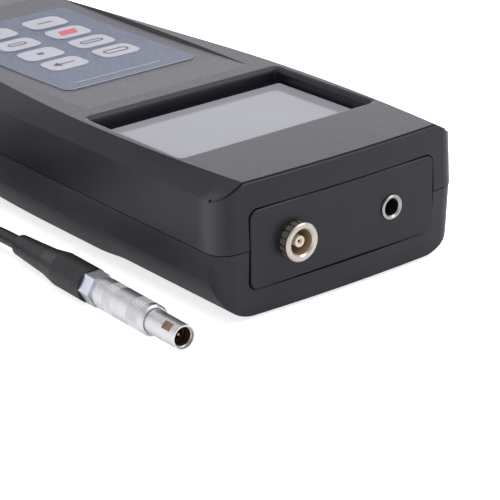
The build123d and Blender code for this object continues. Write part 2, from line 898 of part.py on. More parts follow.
with BuildPart() as key_domes:
    for x, distance in key_places():
        with BuildSketch(key_plane(x, distance, deck_at(distance) - board_top - tray_floor_at(distance))):
            Circle(dome_radius)
        extrude(amount=dome_height, taper=dome_slope)
key_domes.part.label = "key_domes"
export_step(key_domes.part, "parts/key_domes.step")

# Case screws, in the counterbores of the lower shell

with BuildPart() as case_screws:
    with BuildSketch(Plane.XY.offset(screw_seat - screw_head_height)):
        with Locations(boss_points):
            Circle(screw_head / 2)
    extrude(amount=screw_head_height)
    with BuildSketch(Plane.XY.offset(screw_seat)):
        with Locations(boss_points):
            Circle(screw_diameter / 2)
    extrude(amount=screw_length)
    with BuildSketch(Plane.XY.offset(screw_seat - screw_head_height)):
        with Locations(boss_points):
            Rectangle(screw_slot, screw_head / 2)
            Rectangle(screw_head / 2, screw_slot)
    extrude(amount=screw_head_height / 2, mode=Mode.SUBTRACT)
case_screws.part.label = "case_screws"
export_step(case_screws.part, "parts/case_screws.step")

# Battery and the clip on its studs

clip_back = bay_start + battery_gap + clip_thickness
battery_front = clip_back + stud_height

with BuildPart() as battery:
    with BuildSketch(Plane.XZ.offset(-at(battery_front))):
        with Locations((0, battery_floor + battery_height / 2)):
            RectangleRounded(battery_width, battery_height, battery_corner)
    extrude(amount=-(battery_length - stud_height))
    with BuildSketch(Plane.XZ.offset(-at(clip_back))):
        with Locations((0, battery_floor + battery_height / 2)):
            with GridLocations(stud_pitch, 0, 2, 1):
                Circle(stud_diameter / 2)
    extrude(amount=-stud_height)
battery.part.label = "battery"
export_step(battery.part, "parts/battery.step")

with BuildPart() as battery_clip:
    with BuildSketch(Plane.XZ.offset(-at(clip_back))):
        with Locations((0, battery_floor + battery_height / 2)):
            RectangleRounded(battery_width, battery_height, battery_corner)
    extrude(amount=clip_thickness)
battery_clip.part.label = "battery_clip"
export_step(battery_clip.part, "parts/battery_clip.step")

# Plug at the lead's near end, lying beside the case

turn = math.radians(plug_turn)
plug_axis = Vector(math.sin(turn), math.cos(turn), 0)


def plug_point(along):
    tip = Vector(plug_tip[0], plug_tip[1], plug_axis_height)
    return tip + plug_axis * along


def plug_plane(along):
    """A plane across the plug's axis, facing the cable."""
    return Plane(origin=plug_point(along), x_dir=(math.cos(turn), -math.sin(turn), 0), z_dir=plug_axis)


nose_inner = nose_diameter - 2 * nose_wall
nut_start = sleeve_end + release_travel + release_stop

with BuildPart() as plug_nose:
    with BuildSketch(plug_plane(0)):
        Circle(nose_diameter / 2)
    extrude(amount=nut_start)
    with BuildSketch(plug_plane(nut_start)):
        Circle(nose_tail / 2)
    extrude(amount=nose_tail_length)
    with BuildSketch(plug_plane(0)):
        Circle(nose_inner / 2)
    extrude(amount=nose_open, mode=Mode.SUBTRACT)
    with BuildSketch(plug_plane(window_start)):
        with PolarLocations(nose_diameter / 2, 1, start_angle=270 - window_turn):
            Rectangle(nose_diameter - 4 * fit, window_width)
    extrude(amount=window_length, mode=Mode.SUBTRACT)
plug_nose.part.label = "plug_nose"
export_step(plug_nose.part, "parts/plug_nose.step")


def plug_ring(start, end, outer, inner):
    """A round tube on the plug's axis."""
    with BuildPart() as ring:
        with BuildSketch(plug_plane(start)):
            Circle(outer / 2)
            Circle(inner / 2, mode=Mode.SUBTRACT)
        extrude(amount=end - start)
    return ring.part


with BuildPart() as plug_latch:
    add(plug_ring(latch_start, nose_open, nose_inner - 2 * fit, insulator_diameter + 2 * fit))
    mouth = plug_latch.edges().filter_by(GeomType.CIRCLE).group_by(Axis.Y)[0]
    chamfer(mouth.sort_by(SortBy.RADIUS)[-1], latch_chamfer)
plug_latch.part.label = "plug_latch"
export_step(plug_latch.part, "parts/plug_latch.step")

pin_diameter_in_plug = contact_bore - 2 * plug_pin_gap

with BuildPart() as plug_insulator:
    add(plug_ring(insulator_start, nose_open, insulator_diameter, socket_post + 2 * insulator_gap))
    with BuildSketch(plug_plane(nose_open - insulator_base)):
        Circle(insulator_diameter / 2)
        Circle(pin_diameter_in_plug / 2 + fit, mode=Mode.SUBTRACT)
    extrude(amount=insulator_base)
plug_insulator.part.label = "plug_insulator"
export_step(plug_insulator.part, "parts/plug_insulator.step")

with BuildPart() as plug_contact:
    with BuildSketch(plug_plane(plug_pin_start)):
        Circle(pin_diameter_in_plug / 2)
    extrude(amount=nose_open - plug_pin_start)
plug_contact.part.label = "plug_contact"
export_step(plug_contact.part, "parts/plug_contact.step")

with BuildPart() as plug_sleeve:
    add(plug_ring(sleeve_start, sleeve_end, sleeve_diameter, nose_diameter + 2 * sleeve_bore_gap))
    rims = plug_sleeve.edges().filter_by(GeomType.CIRCLE).group_by(SortBy.RADIUS)[-1]
    chamfer(rims.sort_by(Axis.Y)[0], sleeve_chamfer)
    fillet(plug_sleeve.edges().group_by(Axis.Y)[-1].sort_by(SortBy.RADIUS)[-1], sleeve_round)
    for start, length in band_places:
        with BuildSketch(plug_plane(start)):
            Circle(sleeve_diameter / 2)
            Circle(sleeve_diameter / 2 - band_depth, mode=Mode.SUBTRACT)
        extrude(amount=length, mode=Mode.SUBTRACT)
plug_sleeve.part.label = "plug_sleeve"
export_step(plug_sleeve.part, "parts/plug_sleeve.step")

with BuildPart() as plug_nut:
    with BuildSketch(plug_plane(nut_start)):
        RegularPolygon(nut_across / 2, 6, major_radius=False)
        Circle(nose_tail / 2 + fit, mode=Mode.SUBTRACT)
    extrude(amount=nut_length)
plug_nut.part.label = "plug_nut"
export_step(plug_nut.part, "parts/plug_nut.step")

with BuildPart() as plug_boot:
    with BuildSketch(plug_plane(boot_rim)):
        Circle(boot_diameter / 2)
    extrude(amount=boot_flare - boot_rim)
    with BuildSketch(plug_plane(boot_flare)):
        Circle(boot_diameter / 2)
    with BuildSketch(plug_plane(boot_taper)):
        Circle(boot_taper_diameter / 2)
    loft()
    with BuildSketch(plug_plane(boot_taper)):
        Circle(boot_taper_diameter / 2)
    with BuildSketch(plug_plane(boot_end)):
        Circle(boot_end_diameter / 2)
    loft()
    fillet(plug_boot.edges().group_by(Axis.Y)[0], boot_round)
    fillet(plug_boot.edges().group_by(Axis.Y)[-1], boot_round)
    with BuildSketch(plug_plane(boot_rim)):
        RegularPolygon(nut_across / 2 + fit, 6, major_radius=False)
    extrude(amount=nut_start + nut_length - boot_rim, mode=Mode.SUBTRACT)
plug_boot.part.label = "plug_boot"
export_step(plug_boot.part, "parts/plug_boot.step")

# Lead: from the boot to the put-away coil, and from the coil to the hand probe


def cord_tube(points, name):
    """Straight runs joined by the widest arcs that the runs allow."""
    radii = []
    for before, here, after in zip(points, points[1:], points[2:]):
        first = Vector(*here) - Vector(*before)
        second = Vector(*after) - Vector(*here)
        half_turn = math.radians(first.get_angle(second)) / 2
        radii.append(0.45 * min(first.length, second.length) / math.tan(half_turn))
    print(name, "bend radii", [round(radius, 1) for radius in radii])
    with BuildPart() as tube:
        with BuildLine() as route:
            FilletPolyline(*points, radius=radii)
        with BuildSketch(Plane(origin=route.line @ 0, z_dir=route.line % 0)):
            Circle(cable_diameter / 2)
        sweep()
    length = sum(edge.length for edge in route.edges())
    share = tube.part.volume / (length * math.pi * cable_diameter**2 / 4)
    print(name, "length", round(length, 2), "volume share", round(share, 4))
    return tube.part


cable_rest = cable_diameter / 2
outer_turn = coil_middle_radius + (coil_columns - 1) / 2 * cable_diameter
coil_height = coil_layers * cable_diameter
boot_exit = plug_point(boot_end)
boot_line = plug_point(boot_end + boot_straight)
lead_points = [
    (boot_exit.X, boot_exit.Y, boot_exit.Z),
    (boot_line.X, boot_line.Y, boot_line.Z),
    (-40.6, -7.4, 2.2),
    (-40.0, 1.4, 1.55),
    (coil_centre[0] + outer_turn, 10.0, cable_rest),
]
tail_points = [
    (handle_axis, handle_start - gland_length, handle_diameter / 2),
    (handle_axis, handle_start - gland_length - gland_straight, handle_diameter / 2),
    (-43.4, 34.6, 7.5),
    (coil_centre[0] + coil_middle_radius, 27.4, coil_height - cable_rest),
]

with BuildPart() as lead_cable:
    add(cord_tube(lead_points, "lead"))
lead_cable.part.label = "lead_cable"
export_step(lead_cable.part, "parts/lead_cable.step")

with BuildPart() as lead_tail:
    add(cord_tube(tail_points, "tail"))
lead_tail.part.label = "lead_tail"
export_step(lead_tail.part, "parts/lead_tail.step")

with BuildPart() as lead_coil:
    with BuildSketch():
        with Locations(coil_centre):
            Circle(outer_turn + cable_rest)
            Circle(2 * coil_middle_radius - outer_turn - cable_rest, mode=Mode.SUBTRACT)
    extrude(amount=coil_height)
    fillet(lead_coil.edges(), cable_rest)
lead_coil.part.label = "lead_coil"
export_step(lead_coil.part, "parts/lead_coil.step")

# Hand probe: a grooved handle with a cross head that carries two pins

handle_height = handle_diameter / 2
handle_end = handle_start + handle_length


def probe_plane(distance, x=0.0):
    """An upright plane on the handle's axis, or beside it, facing +Y."""
    origin = (handle_axis + x, distance, handle_height)
    return Plane(origin=origin, x_dir=(-1, 0, 0), z_dir=(0, 1, 0))


with BuildPart() as probe_handle:
    with BuildSketch(probe_plane(handle_start)):
        Circle(handle_diameter / 2)
    extrude(amount=handle_length)
    fillet(probe_handle.edges().filter_by(GeomType.CIRCLE).group_by(Axis.Y)[0], handle_round)
    for number in range(groove_count):
        start = handle_start + handle_length / 2 + (number - (groove_count - 1) / 2) * groove_pitch
        with BuildSketch(probe_plane(start)):
            Circle(handle_diameter / 2)
            Circle(handle_diameter / 2 - groove_depth, mode=Mode.SUBTRACT)
        extrude(amount=groove_pitch / 3, mode=Mode.SUBTRACT)
probe_handle.part.label = "probe_handle"
export_step(probe_handle.part, "parts/probe_handle.step")

with BuildPart() as probe_gland:
    with BuildSketch(probe_plane(handle_start - gland_length)):
        Circle(gland_end_diameter / 2)
    with BuildSketch(probe_plane(handle_start)):
        Circle(gland_diameter / 2)
    loft()
probe_gland.part.label = "probe_gland"
export_step(probe_gland.part, "parts/probe_gland.step")

with BuildPart() as probe_head:
    with BuildSketch(probe_plane(handle_end)):
        SlotOverall(probe_head_width, probe_head_height)
    extrude(amount=probe_head_length)
    fillet(probe_head.edges().group_by(Axis.Y)[-1], handle_round / 2)
    for side in (-1, 1):
        with BuildSketch(probe_plane(handle_end + probe_head_length - pin_seat, side * pin_spacing / 2)):
            Circle(pin_diameter / 2 + fit)
        extrude(amount=pin_seat, mode=Mode.SUBTRACT)
probe_head.part.label = "probe_head"
export_step(probe_head.part, "parts/probe_head.step")

pin_base = handle_end + probe_head_length

with BuildPart() as probe_pins:
    for side in (-1, 1):
        with BuildSketch(probe_plane(pin_base - pin_seat, side * pin_spacing / 2)):
            Circle(pin_diameter / 2)
        extrude(amount=pin_seat + pin_length - pin_point)
        with BuildSketch(probe_plane(pin_base + pin_length - pin_point, side * pin_spacing / 2)):
            Circle(pin_diameter / 2)
        with BuildSketch(probe_plane(pin_base + pin_length, side * pin_spacing / 2)):
            Circle(pin_tip / 2)
        loft()
probe_pins.part.label = "probe_pins"
export_step(probe_pins.part, "parts/probe_pins.step")

with BuildPart() as pin_nuts:
    for side in (-1, 1):
        with BuildSketch(probe_plane(pin_base, side * pin_spacing / 2)):
            RegularPolygon(pin_nut_across / 2, 6, major_radius=False)
            Circle(pin_diameter / 2 + fit, mode=Mode.SUBTRACT)
        extrude(amount=pin_nut_height)
pin_nuts.part.label = "pin_nuts"
export_step(pin_nuts.part, "parts/pin_nuts.step")
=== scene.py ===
"""Dresses the moisture meter: finishes, key symbols, knurled bands, the lead and the studio."""

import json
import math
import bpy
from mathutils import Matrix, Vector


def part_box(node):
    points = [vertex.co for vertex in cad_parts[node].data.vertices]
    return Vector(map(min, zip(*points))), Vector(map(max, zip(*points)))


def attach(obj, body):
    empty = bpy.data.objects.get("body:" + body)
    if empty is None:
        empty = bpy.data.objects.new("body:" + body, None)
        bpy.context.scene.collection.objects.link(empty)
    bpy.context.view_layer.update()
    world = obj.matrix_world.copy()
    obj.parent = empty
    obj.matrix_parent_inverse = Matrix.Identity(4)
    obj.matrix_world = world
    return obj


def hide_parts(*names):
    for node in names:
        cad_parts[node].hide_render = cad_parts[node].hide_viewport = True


bl_info = {
    "name": "Moisture meter dresser",
    "version": (1, 0, 0),
    "blender": (4, 5, 0),
    "location": "3D View > Sidebar > Meter",
    "description": "Finishes for a hand-held moisture meter, its lead and its studio",
    "category": "Object",
}

import bmesh
import bpy
from bpy.props import FloatProperty, FloatVectorProperty, IntProperty, PointerProperty
from mathutils import Matrix, Vector

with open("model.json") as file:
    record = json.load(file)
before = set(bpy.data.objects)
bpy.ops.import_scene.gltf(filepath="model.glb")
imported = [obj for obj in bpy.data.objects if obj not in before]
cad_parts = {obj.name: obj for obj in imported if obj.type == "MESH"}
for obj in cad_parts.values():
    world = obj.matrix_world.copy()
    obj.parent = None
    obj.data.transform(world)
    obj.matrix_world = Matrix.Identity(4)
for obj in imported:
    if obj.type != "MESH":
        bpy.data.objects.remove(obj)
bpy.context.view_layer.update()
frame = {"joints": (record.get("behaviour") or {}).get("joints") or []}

MM = 0.001

# Lengths are in metres, and places are where the model has its pieces.

# Plug: distances along it count from the tip of its nose
PLUG_TIP = Vector((-0.04259, -0.08379, 0.00365))
PLUG_BOOT_END = 57.6 * MM
PLUG_BOOT_STRAIGHT = 8.5 * MM
SLEEVE_RADIUS = 3.2 * MM
BAND_DEPTH = 0.11 * MM
BAND_TEETH = 44
POINTS_PER_TOOTH = 4
KNURL_BANDS = ((11.1 * MM, 3.7 * MM), (20.2 * MM, 3.0 * MM))
MOUTH_SPAN = (0.5 * MM, 2.5 * MM)
MOUTH_RADIUS = 1.82 * MM

# The window in the plug's nose: its turn from straight up in degrees, and the spring that it shows
WINDOW_TURN = 42.0
LATCH_SPAN = (1.7 * MM, 4.3 * MM)
LATCH_RADIUS = 2.21 * MM
LATCH_HALF_WIDTH = 0.85 * MM
NOSE_MIDDLE_RADIUS = 2.2 * MM

# Lining of the receptacle's bore, from its lip
BORE_SPAN = (0.4 * MM, 9.9 * MM)
BORE_RADIUS = 2.59 * MM

# Where the lead comes out of the hand probe
GLAND_END = Vector((-0.044, 0.050, 0.008))

# The lead's route outside the coil, from the hand probe to the coil and from there to the plug
TAIL_ROUTE = (
    GLAND_END,
    Vector((-0.0440, 0.0424, 0.0080)),
    Vector((-0.0434, 0.0346, 0.0075)),
    Vector((-0.0425, 0.0274, 0.0075)),
)
LEAD_ROUTE = (
    Vector((-0.0395, 0.0100, 0.0015)),
    Vector((-0.0400, 0.0014, 0.00155)),
    Vector((-0.0406, -0.0074, 0.0022)),
)
COIL_CENTRE = Vector((-0.0585, 0.017, 0.0))
COIL_MIDDLE_RADIUS = 0.016

# Where each turn of the coil lies: column from the inside, layer from the floor, and the angles
# between which it keeps to them, clockwise from +X
COIL_TURNS = (
    (3, 3, -10, 265),
    (3, 2, 325, 565),
    (2, 2, 625, 925),
    (1, 2, 985, 1225),
    (1, 1, 1285, 1525),
    (2, 1, 1585, 1885),
    (3, 1, 1945, 2160),
)

# The keypad overlay lies in a shallow hollow: its radius, and its lowest line from the near edge
OVERLAY_RADIUS = 1.10475
OVERLAY_LOWEST = 42.1 * MM

# Prints lie this far above what they are printed on, and so do the display's face and its border of
# painted shade
SYMBOL_LIFT = 0.03 * MM
BORDER_LIFT = 0.02 * MM
FACE_LIFT = 0.01 * MM

# Border of painted shade round the display's face, on its window: the dark gap and shadow where the
# window meets the recess walls
DISPLAY_BORDER_SIDE = 0.65 * MM
DISPLAY_BORDER_END = 2.1 * MM
BORDER_OUTER_CORNER = 0.5 * MM
BORDER_INNER_CORNER = 0.3 * MM
FACE_UNDER_BORDER = 0.2 * MM

# Keys: their number, and how far a key's flat top stands in from the edge of its flange
KEY_COUNT = 8
KEY_TOP_INSET = 0.8 * MM

# Key symbols: width, height and corners of the bars, and width and height of the outlined ones
ARROW_SHAFT = (5.4 * MM, 0.5 * MM, 0.2 * MM)
ARROW_HEAD = ((-3.0 * MM, 0.0), (-1.2 * MM, -1.4 * MM), (-1.2 * MM, 1.4 * MM))
KEY_2_OUTLINE = (6.4 * MM, 2.6 * MM)
DOT_BAR = (1.8 * MM, 1.5 * MM, 0.6 * MM)
KEY_4_OUTLINE = (6.0 * MM, 2.0 * MM)
KEY_5_OUTLINE = (4.8 * MM, 2.0 * MM)
POWER_BAR = (4.6 * MM, 3.2 * MM, 0.3 * MM)
SHORT_DASH = (3.0 * MM, 0.6 * MM, 0.2 * MM)
LONG_DASH = (4.0 * MM, 0.6 * MM, 0.2 * MM)

# How far the power key's bar leans for its height, and how round the outlines' ends are
POWER_SLANT = 0.35
OUTLINE_ROUNDING = 0.9

# The stripe on the overlay
STRIPE_BAR = (22.5 * MM, 0.9 * MM, 0.2 * MM)
STRIPE_PLACE = (-2.0 * MM, -7.8 * MM)

# The photograph's frame: its width and the lens in pixels, and the camera's sensor in millimetres
FRAME_PIXELS = 500
FOCAL_PIXELS = 2383.49
SENSOR = 36.0
NEAREST_SEEN = 10 * MM

# The floor: its radius, how far it lies under the part so that the two don't share a plane, and its
# level in the picture, which is above white so that its shadow stays faint
FLOOR_RADIUS = 4.0
FLOOR_DROP = 0.05 * MM
FLOOR_SEEN = 1.60

# The studio: its tint, and where the far wall and the ceiling fade in, as parts of a direction
STUDIO_TINT = (0.94, 0.94, 1.0, 1.0)
WALL_SPAN = (0.1, 0.85)
CEILING_SPAN = (0.24, 0.56)

# Lamps: where they stand, where they aim and how wide they are
OVERHEAD = ((0.10, -0.05, 1.10), (0.0, -0.02, 0.0), 1.5)
EDGE_LIGHT = ((0.62, -0.50, 0.78), (0.0, -0.08, 0.03), 0.5)

# Moulded plastic: the tint and strength of its reflection, the depth of its grain, how many grains
# wide its patches and pits are, and the share of the grain's depth that the pits have
PLASTIC_TINT = (0.93, 0.94, 1.0, 1.0)
# the lower shell's weaker reflection goes with its lighter colour: painted light on the case's
# lower side, with its reflection of the floor dimmed
PLASTIC_IOR = 1.42
LOWER_IOR = 1.32
USUAL_SHINE = 0.5
SHELL_GRAIN_DEPTH = 0.013 * MM
PANEL_GRAIN_DEPTH = 0.015 * MM
GRIP_GRAIN_DEPTH = 0.04 * MM
PATCH_GRAINS = 30
PIT_GRAINS = 0.8
PIT_DEPTH_SHARE = 0.6

# The other materials: the width of their patches and grains, and the depth of their grains
FILM_PEEL = 1.2 * MM
FILM_PEEL_DEPTH = 0.008 * MM
FILM_PATCH = 12 * MM
METAL_CLOUD = 3 * MM
METAL_GRAIN = 0.12 * MM
METAL_GRAIN_DEPTH = 0.004 * MM
RUBBER_SKIN = 0.8 * MM
RUBBER_SKIN_DEPTH = 0.03 * MM
RUBBER_BLOOM = 9.6 * MM
DISPLAY_DRIFT = 20 * MM
WINDOW_RUB = 2 * MM
INK_SPREAD = 0.4 * MM
BOARD_WEAVE = 0.6 * MM
BOARD_WEAVE_DEPTH = 0.01 * MM

# The film's cut edge, which has a pale colour of painted light: faces whose normal rises by less
# than the first of these have its colour, and those whose normal rises by more than the second have
# the print's
EDGE_SPAN = (0.4, 0.8)

# The painted highlight on the head's front corners: where they stand, and between which distances
# from there the stronger reflection fades
HIGHLIGHT_CORNER = (30.7 * MM, 76.6 * MM, 0.0)
HIGHLIGHT_REACH = (0.8 * MM, 3.6 * MM)

X_AXIS = Vector((1.0, 0.0, 0.0))
Y_AXIS = Vector((0.0, 1.0, 0.0))
Z_AXIS = Vector((0.0, 0.0, 1.0))


# Sizes and colours


class CaseFinish(bpy.types.PropertyGroup):
    """Colours, grain and shine of the case."""

    shell: FloatVectorProperty(
        name="Shell", description="Colour of the upper shell and the hand probe", subtype="COLOR",
        size=3, min=0.0, max=1.0, default=(0.0140, 0.0140, 0.0175),
    )
    # painted light: the lower shell's colour is lighter than the upper shell's, to brighten the
    # case's lower side
    lower: FloatVectorProperty(
        name="Lower shell", description="Colour of the lower shell and the battery door",
        subtype="COLOR", size=3, min=0.0, max=1.0, default=(0.031, 0.031, 0.038),
    )
    panel: FloatVectorProperty(
        name="End panel", description="Colour of the end panel", subtype="COLOR",
        size=3, min=0.0, max=1.0, default=(0.0140, 0.0140, 0.0175),
    )
    roughness: FloatProperty(
        name="Roughness", description="How matt the shells are", subtype="FACTOR",
        min=0.0, max=1.0, default=0.34,
    )
    grain: FloatProperty(
        name="Grain", description="Width of one grain of the moulded texture", subtype="DISTANCE",
        unit="LENGTH", min=0.00005, max=0.01, default=0.00045,
    )
    # painted highlight: the level of the stronger reflection on the head's front corners
    corner_highlight: FloatProperty(
        name="Worn shine", description="Level of the reflection on the head's worn corners",
        subtype="FACTOR", min=0.0, max=1.0, default=1.0,
    )


class KeypadFinish(bpy.types.PropertyGroup):
    """Colours of the keypad."""

    film: FloatVectorProperty(
        name="Film", description="Colour of the overlay film", subtype="COLOR",
        size=3, min=0.0, max=1.0, default=(0.045, 0.065, 0.120),
    )
    # painted light: a pale colour on the film's upright cut edge, over the shade along the
    # overlay's edge
    lit_cut_edge: FloatVectorProperty(
        name="Cut edge", description="Colour of the overlay film's cut edge", subtype="COLOR",
        size=3, min=0.0, max=1.0, default=(0.72, 0.76, 0.88),
    )
    key: FloatVectorProperty(
        name="Key", description="Colour of the keys", subtype="COLOR",
        size=3, min=0.0, max=1.0, default=(0.40, 0.40, 0.45),
    )
    ink: FloatVectorProperty(
        name="Ink", description="Colour of the key symbols", subtype="COLOR",
        size=3, min=0.0, max=1.0, default=(0.055, 0.052, 0.075),
    )
    accent: FloatVectorProperty(
        name="Accent", description="Colour of the power key's symbol", subtype="COLOR",
        size=3, min=0.0, max=1.0, default=(0.52, 0.055, 0.050),
    )
    line: FloatProperty(
        name="Line", description="Width of the lines that the symbols are drawn with",
        subtype="DISTANCE", unit="LENGTH", min=0.0001, max=0.002, default=0.0005,
    )


class DisplayFinish(bpy.types.PropertyGroup):
    """Colours of the display."""

    face: FloatVectorProperty(
        name="Face", description="Colour of the display's face", subtype="COLOR",
        size=3, min=0.0, max=1.0, default=(0.296, 0.296, 0.322),
    )
    # the border is painted shade, for the dark gap and shadow along the window's edges
    border: FloatVectorProperty(
        name="Border", description="Colour of the border round the face", subtype="COLOR",
        size=3, min=0.0, max=1.0, default=(0.006, 0.006, 0.010),
    )
    strips: FloatVectorProperty(
        name="Strips", description="Colour of the contact strips", subtype="COLOR",
        size=3, min=0.0, max=1.0, default=(0.25, 0.08, 0.10),
    )


class MetalFinish(bpy.types.PropertyGroup):
    """Colours of the plated and turned pieces."""

    receptacle: FloatVectorProperty(
        name="Receptacle", description="Colour of the receptacle and its nut", subtype="COLOR",
        size=3, min=0.0, max=1.0, default=(0.61, 0.565, 0.51),
    )
    ring: FloatVectorProperty(
        name="Ring", description="Colour of the receptacle's ribbed ring", subtype="COLOR",
        size=3, min=0.0, max=1.0, default=(0.26, 0.22, 0.18),
    )
    jack: FloatVectorProperty(
        name="Jack", description="Colour of the jack's bush", subtype="COLOR",
        size=3, min=0.0, max=1.0, default=(0.45, 0.45, 0.435),
    )
    plug: FloatVectorProperty(
        name="Plug", description="Colour of the plug's nose and sleeve", subtype="COLOR",
        size=3, min=0.0, max=1.0, default=(0.80, 0.80, 0.81),
    )
    nut: FloatVectorProperty(
        name="Collet nut", description="Colour of the plug's collet nut", subtype="COLOR",
        size=3, min=0.0, max=1.0, default=(0.78, 0.79, 0.86),
    )
    pins: FloatVectorProperty(
        name="Pins", description="Colour of the hand probe's pins", subtype="COLOR",
        size=3, min=0.0, max=1.0, default=(0.62, 0.62, 0.63),
    )


class LeadShape(bpy.types.PropertyGroup):
    """The lead and its coil."""

    diameter: FloatProperty(
        name="Diameter", description="Diameter of the lead", subtype="DISTANCE", unit="LENGTH",
        min=0.001, max=0.01, default=0.003,
    )
    points_per_turn: IntProperty(
        name="Points per turn", description="Points of the route in each turn of the coil",
        min=12, max=48, default=24,
    )
    colour: FloatVectorProperty(
        name="Jacket", description="Colour of the lead's jacket", subtype="COLOR",
        size=3, min=0.0, max=1.0, default=(0.009, 0.009, 0.012),
    )


class StudioLevels(bpy.types.PropertyGroup):
    """Place of the camera, and levels of the walls, the lamps and the floor."""

    azimuth: FloatProperty(
        name="Azimuth", description="Turn of the camera round the part, from the head end",
        subtype="ANGLE", unit="ROTATION", default=math.radians(-38.326),
    )
    elevation: FloatProperty(
        name="Elevation", description="Height of the camera above the floor, as an angle",
        subtype="ANGLE", unit="ROTATION", default=math.radians(22.949),
    )
    roll: FloatProperty(
        name="Roll", description="Turn of the camera about its own axis", subtype="ANGLE",
        unit="ROTATION", default=math.radians(-0.938),
    )
    place: FloatVectorProperty(
        name="Place", description="Where the camera stands", subtype="TRANSLATION",
        unit="LENGTH", size=3, default=(-0.28381, -0.40930, 0.19272),
    )
    backdrop: FloatProperty(
        name="Backdrop", description="Brightness of the studio's far wall", min=0.0, max=3.0,
        default=2.0,
    )
    near_wall: FloatProperty(
        name="Near wall", description="Brightness of the studio's other walls", min=0.0,
        max=3.0, default=0.9,
    )
    ceiling: FloatProperty(
        name="Ceiling", description="Brightness of the studio's ceiling", min=0.0, max=3.0,
        default=0.40,
    )
    lamp: FloatProperty(
        name="Lamp", description="Power of the large lamp overhead", subtype="POWER", min=0.0,
        max=200.0, default=11.0,
    )
    edge_lamp: FloatProperty(
        name="Edge lamp", description="Power of the small lamp that shows the edges",
        subtype="POWER", min=0.0, max=200.0, default=1.6,
    )
    paper: FloatProperty(
        name="Paper", description="Share of its light that the floor takes from the studio",
        subtype="FACTOR", min=0.0, max=1.0, default=0.85,
    )


# Small helpers for meshes


def new_piece(name, bm, material, body):
    """Makes an object from a bmesh, gives it a material and lets it ride on a body."""
    mesh = bpy.data.meshes.new(name)
    bm.to_mesh(mesh)
    bm.free()
    piece = bpy.data.objects.new(name, mesh)
    bpy.context.scene.collection.objects.link(piece)
    piece.data.materials.append(material)
    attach(piece, body)
    return piece


def finish_node(name, material):
    """Puts a material on a node of the model."""
    piece = bpy.data.objects[name]
    if not piece.material_slots:
        piece.data.materials.append(material)
    for slot in piece.material_slots:
        slot.link = "OBJECT"
        slot.material = material


def joint_axis(name):
    """The direction that a joint moves in."""
    for joint in frame["joints"]:
        if joint["name"] == name:
            return Vector(joint["axis"]).normalized()
    raise RuntimeError(f"the model has no joint {name}")


# Small helpers for materials


